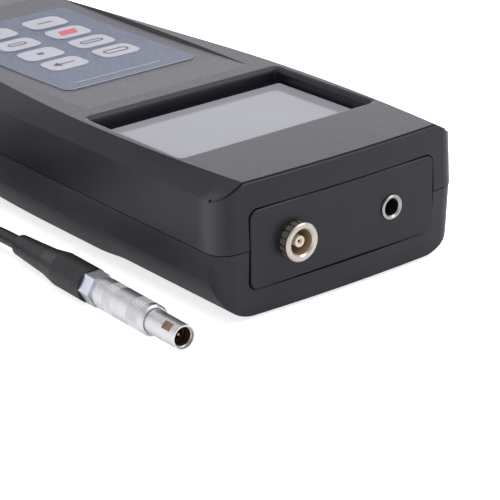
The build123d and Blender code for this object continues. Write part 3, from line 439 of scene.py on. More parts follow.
class Finish:
    """A material's node tree with its main shader, and short ways to add nodes to it."""

    def __init__(self, name):
        self.material = bpy.data.materials.new(name)
        self.material.use_nodes = True
        self.tree = self.material.node_tree
        self.tree.nodes.clear()
        output = self.tree.nodes.new("ShaderNodeOutputMaterial")
        self.shader = self.tree.nodes.new("ShaderNodeBsdfPrincipled")
        self.tree.links.new(self.shader.outputs["BSDF"], output.inputs["Surface"])
        self.place = self.tree.nodes.new("ShaderNodeTexCoord").outputs["Object"]

    def set(self, **values):
        """Sets inputs of the main shader, with _ for each space in their names."""
        for name, value in values.items():
            self.shader.inputs[name.replace("_", " ")].default_value = value

    def noise(self, width, detail, roughness=0.5):
        """Soft patches of about this width."""
        node = self.tree.nodes.new("ShaderNodeTexNoise")
        node.inputs["Scale"].default_value = 1.0 / width
        node.inputs["Detail"].default_value = detail
        node.inputs["Roughness"].default_value = roughness
        self.tree.links.new(self.place, node.inputs["Vector"])
        return node.outputs["Fac"]

    def cells(self, width):
        """Small cells of about this width."""
        node = self.tree.nodes.new("ShaderNodeTexVoronoi")
        node.feature = "F1"
        node.inputs["Scale"].default_value = 1.0 / width
        self.tree.links.new(self.place, node.inputs["Vector"])
        return node.outputs["Distance"]

    def shades(self, factor, dark, light, low=0.3, high=0.7):
        """Goes from a dark to a light colour while the factor goes from low to high."""
        ramp = self.tree.nodes.new("ShaderNodeValToRGB")
        ramp.color_ramp.elements[0].position = low
        ramp.color_ramp.elements[1].position = high
        ramp.color_ramp.elements[0].color = (*dark, 1.0)
        ramp.color_ramp.elements[1].color = (*light, 1.0)
        self.tree.links.new(factor, ramp.inputs["Fac"])
        return ramp.outputs["Color"]

    def span(self, factor, low, high, start=0.3, end=0.7):
        """Goes from a low to a high value while the factor goes from start to end."""
        node = self.tree.nodes.new("ShaderNodeMapRange")
        node.inputs["From Min"].default_value = start
        node.inputs["From Max"].default_value = end
        node.inputs["To Min"].default_value = low
        node.inputs["To Max"].default_value = high
        self.tree.links.new(factor, node.inputs["Value"])
        return node.outputs["Result"]

    def bump(self, height, depth, under=None):
        """Raises the surface by up to a depth, over another bump if there is one."""
        node = self.tree.nodes.new("ShaderNodeBump")
        node.inputs["Distance"].default_value = depth
        node.inputs["Strength"].default_value = 1.0
        self.tree.links.new(height, node.inputs["Height"])
        if under is not None:
            self.tree.links.new(under, node.inputs["Normal"])
        return node.outputs["Normal"]

    def from_corner(self, corner):
        """Distance from an upright line through a corner, the same on the left and on the right."""
        mirrored = self.tree.nodes.new("ShaderNodeVectorMath")
        mirrored.operation = "ABSOLUTE"
        self.tree.links.new(self.place, mirrored.inputs[0])
        flat = self.tree.nodes.new("ShaderNodeVectorMath")
        flat.operation = "MULTIPLY"
        flat.inputs[1].default_value = (1.0, 1.0, 0.0)
        self.tree.links.new(mirrored.outputs["Vector"], flat.inputs[0])
        away = self.tree.nodes.new("ShaderNodeVectorMath")
        away.operation = "DISTANCE"
        away.inputs[1].default_value = corner
        self.tree.links.new(flat.outputs["Vector"], away.inputs[0])
        return away.outputs["Value"]

    def on_upright(self, colour, edge):
        """The colour on faces that lie flat, and the edge's colour, painted light, on those that
        stand.
        """
        normal = self.tree.nodes.new("ShaderNodeTexCoord").outputs["Normal"]
        facing = self.tree.nodes.new("ShaderNodeSeparateXYZ")
        self.tree.links.new(normal, facing.inputs[0])
        flatness = self.span(facing.outputs["Z"], 0.0, 1.0, *EDGE_SPAN)
        mix = self.tree.nodes.new("ShaderNodeMix")
        mix.data_type = "RGBA"
        self.tree.links.new(flatness, mix.inputs["Factor"])
        mix.inputs["A"].default_value = (*edge, 1.0)
        self.tree.links.new(colour, mix.inputs["B"])
        return mix.outputs["Result"]

    def link(self, value, socket):
        """Links an output to an input of the main shader."""
        self.tree.links.new(value, self.shader.inputs[socket])


def scaled(colour, factor):
    """A colour made darker or lighter."""
    return tuple(min(1.0, channel * factor) for channel in colour)


def moulded_plastic(name, colour, roughness, grain, depth, ior=PLASTIC_IOR, shine=None):
    """Spark-textured plastic: fine grains, faint patches and, with a shine, a painted highlight on
    the head's front corners, made by a stronger reflection there.
    """
    finish = Finish(name)
    grains = finish.noise(grain, detail=4.0, roughness=0.6)
    patches = finish.noise(grain * PATCH_GRAINS, detail=2.0)
    pits = finish.cells(grain * PIT_GRAINS)
    finish.link(finish.shades(patches, scaled(colour, 0.88), scaled(colour, 1.12)), "Base Color")
    finish.link(finish.span(grains, roughness - 0.05, roughness + 0.07), "Roughness")
    soft = finish.bump(grains, depth)
    finish.link(finish.bump(pits, depth * PIT_DEPTH_SHARE, under=soft), "Normal")
    finish.set(IOR=ior, Specular_Tint=PLASTIC_TINT)
    if shine is not None:
        # painted highlight: the reflection grows stronger towards the head's front corners
        away = finish.from_corner(HIGHLIGHT_CORNER)
        finish.link(finish.span(away, shine, USUAL_SHINE, *HIGHLIGHT_REACH), "Specular IOR Level")
    return finish.material


def satin_film(name, colour, roughness, edge=None):
    """Satin film or moulding: even colour, a faint orange peel and, if it has one, a cut edge in a
    pale colour of painted light.
    """
    finish = Finish(name)
    peel = finish.noise(FILM_PEEL, detail=2.0)
    shade = finish.noise(FILM_PATCH, detail=1.0)
    print_colour = finish.shades(shade, scaled(colour, 0.95), scaled(colour, 1.05))
    if edge is None:
        finish.link(print_colour, "Base Color")
    else:
        finish.link(finish.on_upright(print_colour, edge), "Base Color")
    finish.link(finish.span(peel, roughness - 0.04, roughness + 0.04), "Roughness")
    finish.link(finish.bump(peel, FILM_PEEL_DEPTH), "Normal")
    finish.set(IOR=1.4)
    return finish.material


def turned_metal(name, colour, roughness, metallic=1.0):
    """Plated metal: a very fine uneven grain and slight clouding of the plating."""
    finish = Finish(name)
    finish.set(Metallic=metallic)
    clouds = finish.noise(METAL_CLOUD, detail=3.0)
    grain = finish.noise(METAL_GRAIN, detail=1.0)
    finish.link(finish.shades(clouds, scaled(colour, 0.93), scaled(colour, 1.05)), "Base Color")
    finish.link(finish.span(grain, roughness - 0.05, roughness + 0.08), "Roughness")
    finish.link(finish.bump(grain, METAL_GRAIN_DEPTH), "Normal")
    return finish.material


def soft_rubber(name, colour, roughness):
    """Moulded rubber: matt, with a dusty bloom and a fine uneven skin."""
    finish = Finish(name)
    skin = finish.noise(RUBBER_SKIN, detail=4.0, roughness=0.65)
    bloom = finish.noise(RUBBER_BLOOM, detail=2.0)
    finish.link(finish.shades(bloom, scaled(colour, 0.85), scaled(colour, 1.25)), "Base Color")
    finish.link(finish.span(skin, roughness - 0.06, roughness + 0.08), "Roughness")
    finish.link(finish.bump(skin, RUBBER_SKIN_DEPTH), "Normal")
    return finish.material


def display_print(name, colour):
    """A printed part of the display, or its border of painted shade: even, with a polished cover
    over it.
    """
    finish = Finish(name)
    drift = finish.noise(DISPLAY_DRIFT, detail=1.0)
    finish.link(finish.shades(drift, scaled(colour, 0.97), scaled(colour, 1.03)), "Base Color")
    finish.link(finish.span(drift, 0.07, 0.10), "Roughness")
    finish.set(IOR=1.2)
    return finish.material


def clear_window(name):
    """Clear plastic sheet: mostly see-through, with a polished face and faint rubbing."""
    finish = Finish(name)
    rub = finish.noise(WINDOW_RUB, detail=3.0)
    finish.link(finish.shades(rub, (0.55, 0.56, 0.58), (0.62, 0.63, 0.65)), "Base Color")
    finish.link(finish.span(rub, 0.05, 0.11), "Roughness")
    finish.set(Alpha=0.22, IOR=1.49)
    return finish.material


def printed_ink(name, colour):
    """Screen-printed ink, slightly uneven."""
    finish = Finish(name)
    spread = finish.noise(INK_SPREAD, detail=2.0)
    finish.link(finish.shades(spread, scaled(colour, 0.9), scaled(colour, 1.1)), "Base Color")
    finish.link(finish.span(spread, 0.4, 0.5), "Roughness")
    return finish.material


def circuit_board(name):
    """Green solder mask with a faint weave under it."""
    finish = Finish(name)
    weave = finish.cells(BOARD_WEAVE)
    mask = finish.shades(weave, (0.012, 0.075, 0.03), (0.02, 0.12, 0.05), low=0.1, high=0.6)
    finish.link(mask, "Base Color")
    finish.link(finish.span(weave, 0.3, 0.42), "Roughness")
    finish.link(finish.bump(weave, BOARD_WEAVE_DEPTH), "Normal")
    return finish.material


# Stage


def camera_axes(studio):
    """The camera's right, up and backward directions."""
    azimuth, elevation, roll = studio.azimuth, studio.elevation, studio.roll
    back = Vector(
        (
            math.sin(azimuth) * math.cos(elevation),
            -math.cos(azimuth) * math.cos(elevation),
            math.sin(elevation),
        )
    )
    right = Vector((math.cos(azimuth), math.sin(azimuth), 0.0))
    up = back.cross(right)
    turned_right = right * math.cos(roll) + up * math.sin(roll)
    turned_up = up * math.cos(roll) - right * math.sin(roll)
    return turned_right, turned_up, back


def build_camera(studio):
    """The camera at the place and the angle of the photograph's."""
    camera = bpy.data.objects.new("camera", bpy.data.cameras.new("camera"))
    bpy.context.scene.collection.objects.link(camera)
    right, up, back = camera_axes(studio)
    turn = Matrix((right, up, back)).transposed()
    camera.matrix_world = Matrix.Translation(Vector(studio.place)) @ turn.to_4x4()
    camera.data.sensor_width = SENSOR
    camera.data.lens = FOCAL_PIXELS / FRAME_PIXELS * SENSOR
    camera.data.clip_start = NEAREST_SEEN
    bpy.context.scene.camera = camera


def math_node(tree, operation, first, second):
    """A product or maximum of an output and another output or a number."""
    node = tree.nodes.new("ShaderNodeMath")
    node.operation = operation
    tree.links.new(first, node.inputs[0])
    if isinstance(second, float):
        node.inputs[1].default_value = second
    else:
        tree.links.new(second, node.inputs[1])
    return node.outputs[0]


def floor_glow(tree, seen, reflected):
    """One level for camera rays, and one for glossy and transmission rays."""
    path = tree.nodes.new("ShaderNodeLightPath")
    mirrored = math_node(
        tree, "MAXIMUM", path.outputs["Is Glossy Ray"], path.outputs["Is Transmission Ray"])
    return math_node(
        tree, "MAXIMUM", math_node(tree, "MULTIPLY", path.outputs["Is Camera Ray"], seen),
        math_node(tree, "MULTIPLY", mirrored, reflected))


def smooth_range(tree, factor, span, low, high):
    """Goes smoothly from one value to another while the factor crosses a span."""
    node = tree.nodes.new("ShaderNodeMapRange")
    node.interpolation_type = "SMOOTHSTEP"
    node.inputs["From Min"].default_value = span[0]
    node.inputs["From Max"].default_value = span[1]
    node.inputs["To Min"].default_value = low
    node.inputs["To Max"].default_value = high
    tree.links.new(factor, node.inputs["Value"])
    return node.outputs["Result"]


def build_world(studio):
    """A studio with a bright far wall and a dimmer ceiling, which the camera sees as white."""
    world = bpy.data.worlds.new("studio")
    bpy.context.scene.world = world
    world.use_nodes = True
    tree = world.node_tree
    tree.nodes.clear()
    output = tree.nodes.new("ShaderNodeOutputWorld")
    direction = tree.nodes.new("ShaderNodeTexCoord").outputs["Generated"]
    ahead = tree.nodes.new("ShaderNodeVectorMath")
    ahead.operation = "DOT_PRODUCT"
    ahead.inputs[1].default_value = (-math.sin(studio.azimuth), math.cos(studio.azimuth), 0.0)
    tree.links.new(direction, ahead.inputs[0])
    wall = smooth_range(
        tree, ahead.outputs["Value"], WALL_SPAN, studio.near_wall, studio.backdrop)
    split = tree.nodes.new("ShaderNodeSeparateXYZ")
    tree.links.new(direction, split.inputs["Vector"])
    level = smooth_range(tree, split.outputs["Z"], CEILING_SPAN, 0.0, studio.ceiling)
    tree.links.new(wall, level.node.inputs["To Min"])
    light = tree.nodes.new("ShaderNodeBackground")
    light.inputs["Color"].default_value = STUDIO_TINT
    tree.links.new(level, light.inputs["Strength"])
    white = tree.nodes.new("ShaderNodeBackground")
    white.inputs["Color"].default_value = (1.0, 1.0, 1.0, 1.0)
    white.inputs["Strength"].default_value = 1.0
    path = tree.nodes.new("ShaderNodeLightPath")
    mix = tree.nodes.new("ShaderNodeMixShader")
    tree.links.new(path.outputs["Is Camera Ray"], mix.inputs["Fac"])
    tree.links.new(light.outputs["Background"], mix.inputs[1])
    tree.links.new(white.outputs["Background"], mix.inputs[2])
    tree.links.new(mix.outputs["Shader"], output.inputs["Surface"])


def build_floor(studio):
    """A pale floor that shows as white and keeps the object's shadow."""
    bm = bmesh.new()
    bmesh.ops.create_circle(bm, cap_ends=True, segments=64, radius=FLOOR_RADIUS)
    mesh = bpy.data.meshes.new("floor")
    bm.to_mesh(mesh)
    bm.free()
    floor = bpy.data.objects.new("floor", mesh)
    floor.location.z = -FLOOR_DROP
    bpy.context.scene.collection.objects.link(floor)
    material = bpy.data.materials.new("floor_paper")
    material.use_nodes = True
    tree = material.node_tree
    tree.nodes.clear()
    output = tree.nodes.new("ShaderNodeOutputMaterial")
    paper = tree.nodes.new("ShaderNodeBsdfDiffuse")
    paper.inputs["Color"].default_value = (studio.paper, studio.paper, studio.paper, 1.0)
    glow = tree.nodes.new("ShaderNodeEmission")
    glow.inputs["Color"].default_value = (1.0, 1.0, 1.0, 1.0)
    level = floor_glow(tree, FLOOR_SEEN - studio.paper, 1.0 - studio.paper)
    tree.links.new(level, glow.inputs["Strength"])
    both = tree.nodes.new("ShaderNodeAddShader")
    tree.links.new(paper.outputs["BSDF"], both.inputs[0])
    tree.links.new(glow.outputs["Emission"], both.inputs[1])
    tree.links.new(both.outputs["Shader"], output.inputs["Surface"])
    mesh.materials.append(material)


def build_lamp(name, place, aim, size, power):
    """A square lamp that shines from a place towards another."""
    lamp = bpy.data.objects.new(name, bpy.data.lights.new(name, "AREA"))
    bpy.context.scene.collection.objects.link(lamp)
    lamp.data.shape = "SQUARE"
    lamp.data.size = size
    lamp.data.energy = power
    lamp.location = place
    lamp.rotation_euler = (Vector(aim) - Vector(place)).to_track_quat("-Z", "Y").to_euler()


class METER_OT_stage(bpy.types.Operator):
    """Camera, floor, world and lamps"""

    bl_idname = "meter.stage"
    bl_label = "Stage"

    def execute(self, context):
        studio = context.scene.meter_studio
        context.scene.view_settings.view_transform = "Standard"
        build_camera(studio)
        build_world(studio)
        build_floor(studio)
        build_lamp("overhead", *OVERHEAD, studio.lamp)
        build_lamp("edge_light", *EDGE_LIGHT, studio.edge_lamp)
        return {"FINISHED"}


# Lead


def plug_axis():
    """The plug's direction, from the tip of its nose to its boot."""
    return joint_axis("plug_release_slide")


def eased(share):
    """A share from 0 to 1 that begins and ends gently."""
    return share * share * (3 - 2 * share)


def coil_place(angle, pitch):
    """Radius and height of the lead at an angle along the coil, in degrees."""
    middle_column = 2
    half_layer = 0.5
    previous = COIL_TURNS[0]
    for turn in COIL_TURNS:
        if angle <= turn[3]:
            break
        previous = turn
    column, layer, begin, _ = turn
    if angle < begin:
        share = eased((angle - previous[3]) / (begin - previous[3]))
        column = previous[0] + (column - previous[0]) * share
        layer = previous[1] + (layer - previous[1]) * share
    return COIL_MIDDLE_RADIUS + (column - middle_column) * pitch, (layer - half_layer) * pitch


def coil_route(lead):
    """Clockwise turns from above, from the top of the coil down to the floor."""
    points = []
    step = 360 / lead.points_per_turn
    # a smooth line runs inside its points by this share of the radius
    inside = (3 + math.cos(math.radians(step))) / 4
    first, last = COIL_TURNS[0][2], COIL_TURNS[-1][3]
    count = round((last - first) / step)
    for number in range(count + 1):
        angle = first + (last - first) * number / count
        radius, height = coil_place(angle, lead.diameter)
        turn = math.radians(angle)
        across = radius / inside * math.cos(turn)
        along = -radius / inside * math.sin(turn)
        points.append(COIL_CENTRE + Vector((across, along, height)))
    return points


def cord_curve(name, points, radius, material):
    """A smooth tube through one open spline."""
    curve = bpy.data.curves.new(name, "CURVE")
    curve.dimensions = "3D"
    spline = curve.splines.new("NURBS")
    spline.points.add(len(points) - 1)
    for point, place in zip(spline.points, points):
        point.co = (*place, 1.0)
    spline.order_u = 3
    spline.use_endpoint_u = True
    spline.resolution_u = 6
    curve.bevel_depth = radius
    curve.bevel_resolution = 6
    curve.use_fill_caps = True
    curve.materials.append(material)
    cord = bpy.data.objects.new(name, curve)
    bpy.context.scene.collection.objects.link(cord)
    return cord


class METER_OT_lead(bpy.types.Operator):
    """The lead from the hand probe through its coil to the plug"""

    bl_idname = "meter.lead"
    bl_label = "Lead"

    def execute(self, context):
        lead = context.scene.meter_lead
        boot = PLUG_TIP + plug_axis() * PLUG_BOOT_END
        past_boot = boot + plug_axis() * PLUG_BOOT_STRAIGHT
        route = [*TAIL_ROUTE, *coil_route(lead), *LEAD_ROUTE, past_boot, boot]
        jacket = soft_rubber("lead_jacket", lead.colour, 0.38)
        cord = cord_curve("lead", route, lead.diameter / 2, jacket)
        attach(cord, "case")
        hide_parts("lead_cable", "lead_coil", "lead_tail")
        return {"FINISHED"}


# Case


class METER_OT_case(bpy.types.Operator):
    """Finishes of the shells, the battery door and the end panel"""

    bl_idname = "meter.case"
    bl_label = "Case"

    def execute(self, context):
        case = context.scene.meter_case
        # the upper shell has a painted highlight on the head's front corners
        upper = moulded_plastic(
            "case_upper", case.shell, case.roughness, case.grain, SHELL_GRAIN_DEPTH,
            shine=case.corner_highlight)
        # the lower shell is a lighter, less reflective copy of the shell plastic: painted light on
        # the case's lower side
        lower = moulded_plastic(
            "case_lower", case.lower, case.roughness, case.grain, SHELL_GRAIN_DEPTH, ior=LOWER_IOR)
        panel = moulded_plastic(
            "case_panel", case.panel, case.roughness, case.grain / 2, PANEL_GRAIN_DEPTH)
        finish_node("upper_shell", upper)
        finish_node("lower_shell", lower)
        finish_node("battery_door", lower)
        finish_node("end_panel", panel)
        return {"FINISHED"}


def window_top():
    """The middle, the size and the lengthwise direction of the display window's upper face."""
    low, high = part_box("display_window")
    outward = -joint_axis("key_1_press")
    along = outward.cross(X_AXIS)
    # the window's box holds its thickness, tilted with the deck
    length = (high[1] - low[1] - (high[2] - low[2]) * outward.y) / along.y
    middle = Vector(((low[0] + high[0]) / 2, 0.0, 0.0))
    middle.y = high[1] + length / 2 * -along.y
    middle.z = high[2] - length / 2 * abs(along.z)
    return middle, (high[0] - low[0], length), along


class METER_OT_display(bpy.types.Operator):
    """Finishes of the display, and on its window a pale face and a border of painted shade"""

    bl_idname = "meter.display"
    bl_label = "Display"

    def execute(self, context):
        display = context.scene.meter_display
        pale = display_print("display_face", display.face)
        # the black border is painted shade, for the dark gap and shadow along the window's edges
        border = display_print("display_shade_border", display.border)
        finish_node("display_glass", pale)
        finish_node("display_window", clear_window("display_cover"))
        finish_node("display_strips", soft_rubber("strip_rubber", display.strips, 0.5))
        middle, size, along = window_top()
        inside = (size[0] - 2 * DISPLAY_BORDER_SIDE, size[1] - 2 * DISPLAY_BORDER_END)
        place = (middle, X_AXIS, along, X_AXIS.cross(along))
        outer = round_bar(*size, BORDER_OUTER_CORNER)
        inner = round_bar(*inside, BORDER_INNER_CORNER)
        rim = flat_shape(outer, inner, place, BORDER_LIFT)
        new_piece("window_shade_border", rim, border, "case")
        reach = (inside[0] + FACE_UNDER_BORDER, inside[1] + FACE_UNDER_BORDER)
        face = flat_shape(round_bar(*reach, BORDER_INNER_CORNER), None, place, FACE_LIFT)
        new_piece("window_face", face, pale, "case")
        return {"FINISHED"}


# Keypad


def key_frame(number):
    """The middle of a key's top, with its across, along and outward directions."""
    low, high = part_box(f"key_{number}")
    outward = -joint_axis(f"key_{number}_press")
    half_length = (high[1] - low[1]) / 2
    drop = (half_length - KEY_TOP_INSET) * outward.y / outward.z
    middle = Vector(((low[0] + high[0]) / 2, (low[1] + high[1]) / 2, high[2] - drop))
    return middle, X_AXIS, outward.cross(X_AXIS), outward


def overlay_place(x, y):
    """A place on the overlay's top, with its across, along and outward directions."""
    low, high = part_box("keypad_overlay")
    middle = low[1] + OVERLAY_LOWEST
    centre = high[2] + math.sqrt(OVERLAY_RADIUS**2 - OVERLAY_LOWEST**2)
    reach = math.sqrt(OVERLAY_RADIUS**2 - (y - middle) ** 2)
    outward = Vector((0.0, middle - y, reach)).normalized()
    return Vector((x, y, centre - reach)), X_AXIS, outward.cross(X_AXIS), outward


def flat_shape(outline, hole, place, lift):
    """A printed shape a little above a place: an outline, with a hole in it if one is given."""
    middle, across, along, outward = place
    bm = bmesh.new()

    def ring(points):
        return [bm.verts.new(middle + across * x + along * y + outward * lift) for x, y in points]

    outer = ring(outline)
    if hole:
        inner = ring(hole)
        count = len(outer)
        for index in range(count):
            after = (index + 1) % count
            bm.faces.new((outer[index], outer[after], inner[after], inner[index]))
    else:
        bm.faces.new(outer)
    bmesh.ops.recalc_face_normals(bm, faces=bm.faces)
    for face in bm.faces:
        if face.normal.dot(outward) < 0:
            face.normal_flip()
    return bm


def round_bar(width, height, corner, steps=6):
    """Points of a bar with rounded corners, about its own middle."""
    points = []
    for quarter, (sx, sy) in enumerate(((1, 1), (-1, 1), (-1, -1), (1, -1))):
        centre = (sx * (width / 2 - corner), sy * (height / 2 - corner))
        for step in range(steps + 1):
            angle = math.pi / 2 * (quarter + step / steps)
            out = (corner * math.cos(angle), corner * math.sin(angle))
            points.append((centre[0] + out[0], centre[1] + out[1]))
    return points


def bar_outline(width, height, line):
    """The outer and the inner edge of a line drawn round a bar."""
    corner = height / 2 * OUTLINE_ROUNDING
    outer = round_bar(width, height, corner)
    return outer, round_bar(width - 2 * line, height - 2 * line, corner - line)


class METER_OT_keypad(bpy.types.Operator):
    """Overlay film, keys and their printed symbols"""

    bl_idname = "meter.keypad"
    bl_label = "Keypad"

    def execute(self, context):
        pad = context.scene.meter_keypad
        # the film's upright cut edge gets a pale colour of painted light
        film = satin_film("overlay_film", pad.film, 0.36, edge=pad.lit_cut_edge)
        finish_node("keypad_overlay", film)
        key_finish = satin_film("key_face", pad.key, 0.42)
        for number in range(1, KEY_COUNT + 1):
            finish_node(f"key_{number}", key_finish)
        finish_node("key_domes", turned_metal("dome_metal", (0.6, 0.6, 0.58), 0.3))
        ink = printed_ink("symbol_ink", pad.ink)
        accent = printed_ink("symbol_accent", pad.accent)
        slanted = [(x + POWER_SLANT * y, y) for x, y in round_bar(*POWER_BAR)]
        self.symbol(1, "a", ink, round_bar(*ARROW_SHAFT))
        self.symbol(1, "b", ink, ARROW_HEAD)
        self.symbol(2, "a", ink, *bar_outline(*KEY_2_OUTLINE, pad.line))
        self.symbol(3, "a", ink, round_bar(*DOT_BAR))
        self.symbol(4, "a", ink, *bar_outline(*KEY_4_OUTLINE, pad.line))
        self.symbol(5, "a", ink, *bar_outline(*KEY_5_OUTLINE, pad.line))
        self.symbol(6, "a", accent, slanted)
        self.symbol(7, "a", ink, round_bar(*SHORT_DASH))
        self.symbol(8, "a", ink, round_bar(*LONG_DASH))
        pale = printed_ink("stripe_ink", (0.20, 0.22, 0.28))
        stripe = flat_shape(round_bar(*STRIPE_BAR), None, overlay_place(*STRIPE_PLACE), SYMBOL_LIFT)
        new_piece("overlay_stripe", stripe, pale, "case")
        return {"FINISHED"}

    def symbol(self, number, part, material, outline, hole=None):
        """Prints a part of a key's symbol on the key's top."""
        bm = flat_shape(outline, hole, key_frame(number), SYMBOL_LIFT)
        new_piece(f"symbol_{number}_{part}", bm, material, f"key_{number}_body")


# Sockets in the end panel


class METER_OT_sockets(bpy.types.Operator):
    """Finishes of the receptacle and the jack, and the lining of the receptacle's bore"""

    bl_idname = "meter.sockets"
    bl_label = "Sockets"

    def execute(self, context):
        metal = context.scene.meter_metal
        plated = turned_metal("receptacle_plating", metal.receptacle, 0.3)
        finish_node("socket_shell", plated)
        ring = turned_metal("ring_plating", metal.ring, 0.35, metallic=0.5)
        finish_node("socket_ring", ring)
        finish_node("socket_nut", plated)
        insulator = satin_film("receptacle_insulator", (0.95, 0.89, 0.78), 0.45)
        finish_node("socket_insulator", insulator)
        finish_node("socket_contact", turned_metal("contact_plating", (0.80, 0.74, 0.64), 0.35))
        finish_node("jack_bush", turned_metal("jack_plating", metal.jack, 0.28))
        low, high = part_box("socket_shell")
        lip = Vector(((low[0] + high[0]) / 2, low[1], (low[2] + high[2]) / 2))
        lining = tube_mesh(lip, Y_AXIS, BORE_SPAN, BORE_RADIUS)
        brass = turned_metal("bore_brass", (0.50, 0.34, 0.20), 0.35, metallic=0.3)
        new_piece("socket_lining", lining, brass, "case")
        finish_node("jack_body", soft_rubber("jack_moulding", (0.02, 0.02, 0.02), 0.5))
        return {"FINISHED"}


# Plug


def knurled_band(start, length):
    """A ring round the plug's axis with fine straight teeth."""
    axis = plug_axis()
    side = axis.cross(Z_AXIS).normalized()
    rise = side.cross(axis)
    count = BAND_TEETH * POINTS_PER_TOOTH
    bm = bmesh.new()
    rings = []
    for along in (start, start + length):
        ring = []
        for index in range(count):
            angle = 2 * math.pi * index / count
            raised = index % POINTS_PER_TOOTH < POINTS_PER_TOOTH / 2
            reach = SLEEVE_RADIUS if raised else SLEEVE_RADIUS - BAND_DEPTH
            out = side * math.cos(angle) + rise * math.sin(angle)
            ring.append(bm.verts.new(PLUG_TIP + axis * along + out * reach))
        rings.append(ring)
    for index in range(count):
        after = (index + 1) % count
        bm.faces.new((rings[0][index], rings[0][after], rings[1][after], rings[1][index]))
    bmesh.ops.recalc_face_normals(bm, faces=bm.faces)
    return bm


def tube_mesh(origin, axis, span, radius, first=0.0, last=360.0, steps=48):
    """The skin of a tube along an axis, or the part of it between two angles from straight up."""
    side = axis.cross(Z_AXIS).normalized()
    rise = side.cross(axis)
    bm = bmesh.new()
    rings = []
    for along in span:
        ring = []
        for index in range(steps + 1):
            angle = math.radians(first + (last - first) * index / steps)
            out = rise * math.cos(angle) - side * math.sin(angle)
            ring.append(bm.verts.new(origin + axis * along + out * radius))
        rings.append(ring)
    for index in range(steps):
        bm.faces.new((rings[0][index], rings[0][index + 1], rings[1][index + 1], rings[1][index]))
    return bm


def latch_patch():
    """The latch spring that shows in the nose's window, towards -X from straight up."""
    half_turn = math.degrees(LATCH_HALF_WIDTH / NOSE_MIDDLE_RADIUS)
    return tube_mesh(
        PLUG_TIP, plug_axis(), LATCH_SPAN, LATCH_RADIUS,
        first=WINDOW_TURN - half_turn, last=WINDOW_TURN + half_turn, steps=8,
    )


class METER_OT_plug(bpy.types.Operator):
    """Finishes of the plug, its knurled bands, the lining of its mouth and its latch spring"""

    bl_idname = "meter.plug"
    bl_label = "Plug"

    def execute(self, context):
        metal = context.scene.meter_metal
        chrome = turned_metal("plug_chrome", metal.plug, 0.32)
        finish_node("plug_nose", chrome)
        finish_node("plug_sleeve", chrome)
        finish_node("plug_nut", turned_metal("nut_chrome", metal.nut, 0.36))
        finish_node("plug_latch", turned_metal("latch_chrome", (0.50, 0.48, 0.46), 0.3))
        finish_node("plug_insulator", satin_film("plug_insulator", (0.05, 0.035, 0.02), 0.5))
        finish_node("plug_contact", turned_metal("plug_pin_gold", (0.42, 0.33, 0.20), 0.3))
        finish_node("plug_boot", soft_rubber("boot_rubber", (0.008, 0.008, 0.010), 0.45))
        lining = tube_mesh(PLUG_TIP, plug_axis(), MOUTH_SPAN, MOUTH_RADIUS)
        brown = satin_film("mouth_brown", (0.05, 0.035, 0.02), 0.4)
        new_piece("mouth_lining", lining, brown, "case")
        copper = turned_metal("latch_copper", (0.34, 0.22, 0.16), 0.4)
        new_piece("latch_patch", latch_patch(), copper, "case")
        for number, (start, length) in enumerate(KNURL_BANDS, start=1):
            band = knurled_band(start, length)
            new_piece(f"knurl_band_{number}", band, chrome, "release_sleeve")
        return {"FINISHED"}


# Hand probe, and what is inside the case


class METER_OT_probe(bpy.types.Operator):
    """Finishes of the hand probe"""

    bl_idname = "meter.probe"
    bl_label = "Hand probe"

    def execute(self, context):
        case, metal = context.scene.meter_case, context.scene.meter_metal
        grip = moulded_plastic("probe_moulding", case.shell, 0.5, case.grain, GRIP_GRAIN_DEPTH)
        finish_node("probe_handle", grip)
        finish_node("probe_head", grip)
        finish_node("probe_gland", soft_rubber("gland_rubber", (0.02, 0.02, 0.023), 0.55))
        finish_node("probe_pins", turned_metal("pin_steel", metal.pins, 0.25))
        finish_node("pin_nuts", turned_metal("pin_nut_plating", (0.58, 0.58, 0.59), 0.34))
        return {"FINISHED"}


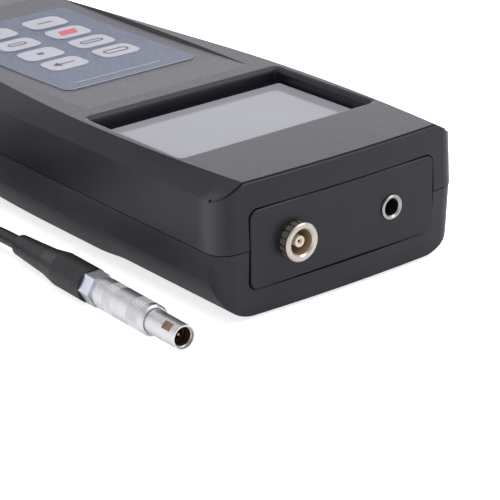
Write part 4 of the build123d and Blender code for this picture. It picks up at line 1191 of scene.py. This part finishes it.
class METER_OT_inside(bpy.types.Operator):
    """Finishes of the board, the battery and the screws"""

    bl_idname = "meter.inside"
    bl_label = "Inside"

    def execute(self, context):
        finish_node("main_board", circuit_board("board_mask"))
        finish_node("battery", satin_film("battery_can", (0.05, 0.05, 0.06), 0.35))
        finish_node("battery_clip", soft_rubber("clip_moulding", (0.02, 0.02, 0.02), 0.5))
        finish_node("case_screws", turned_metal("screw_zinc", (0.55, 0.55, 0.54), 0.35))
        return {"FINISHED"}


class METER_PT_panel(bpy.types.Panel):
    """Lists the meter's operators"""

    bl_label = "Meter"
    bl_idname = "METER_PT_panel"
    bl_space_type = "VIEW_3D"
    bl_region_type = "UI"
    bl_category = "Meter"

    def draw(self, context):
        for operator in OPERATORS:
            self.layout.operator(operator.bl_idname)


OPERATORS = (
    METER_OT_stage,
    METER_OT_lead,
    METER_OT_case,
    METER_OT_display,
    METER_OT_keypad,
    METER_OT_sockets,
    METER_OT_plug,
    METER_OT_probe,
    METER_OT_inside,
)
GROUPS = {
    "meter_case": CaseFinish,
    "meter_keypad": KeypadFinish,
    "meter_display": DisplayFinish,
    "meter_metal": MetalFinish,
    "meter_lead": LeadShape,
    "meter_studio": StudioLevels,
}


def register():
    for name, group in GROUPS.items():
        bpy.utils.register_class(group)
        setattr(bpy.types.Scene, name, PointerProperty(type=group))
    bpy.types.Scene.meter_cord_length = FloatProperty(
        name="Cord length", description="Real length of the lead", subtype="DISTANCE",
        unit="LENGTH", default=0.694,
    )
    for operator in OPERATORS:
        bpy.utils.register_class(operator)
    bpy.utils.register_class(METER_PT_panel)


def unregister():
    bpy.utils.unregister_class(METER_PT_panel)
    for operator in reversed(OPERATORS):
        bpy.utils.unregister_class(operator)
    del bpy.types.Scene.meter_cord_length
    for name, group in reversed(GROUPS.items()):
        delattr(bpy.types.Scene, name)
        bpy.utils.unregister_class(group)


def main():
    register()
    bpy.ops.meter.stage()
    bpy.ops.meter.lead()
    bpy.ops.meter.case()
    bpy.ops.meter.display()
    bpy.ops.meter.keypad()
    bpy.ops.meter.sockets()
    bpy.ops.meter.plug()
    bpy.ops.meter.probe()
    bpy.ops.meter.inside()
    bpy.context.view_layer.update()


if __name__ == "__main__":
    main()
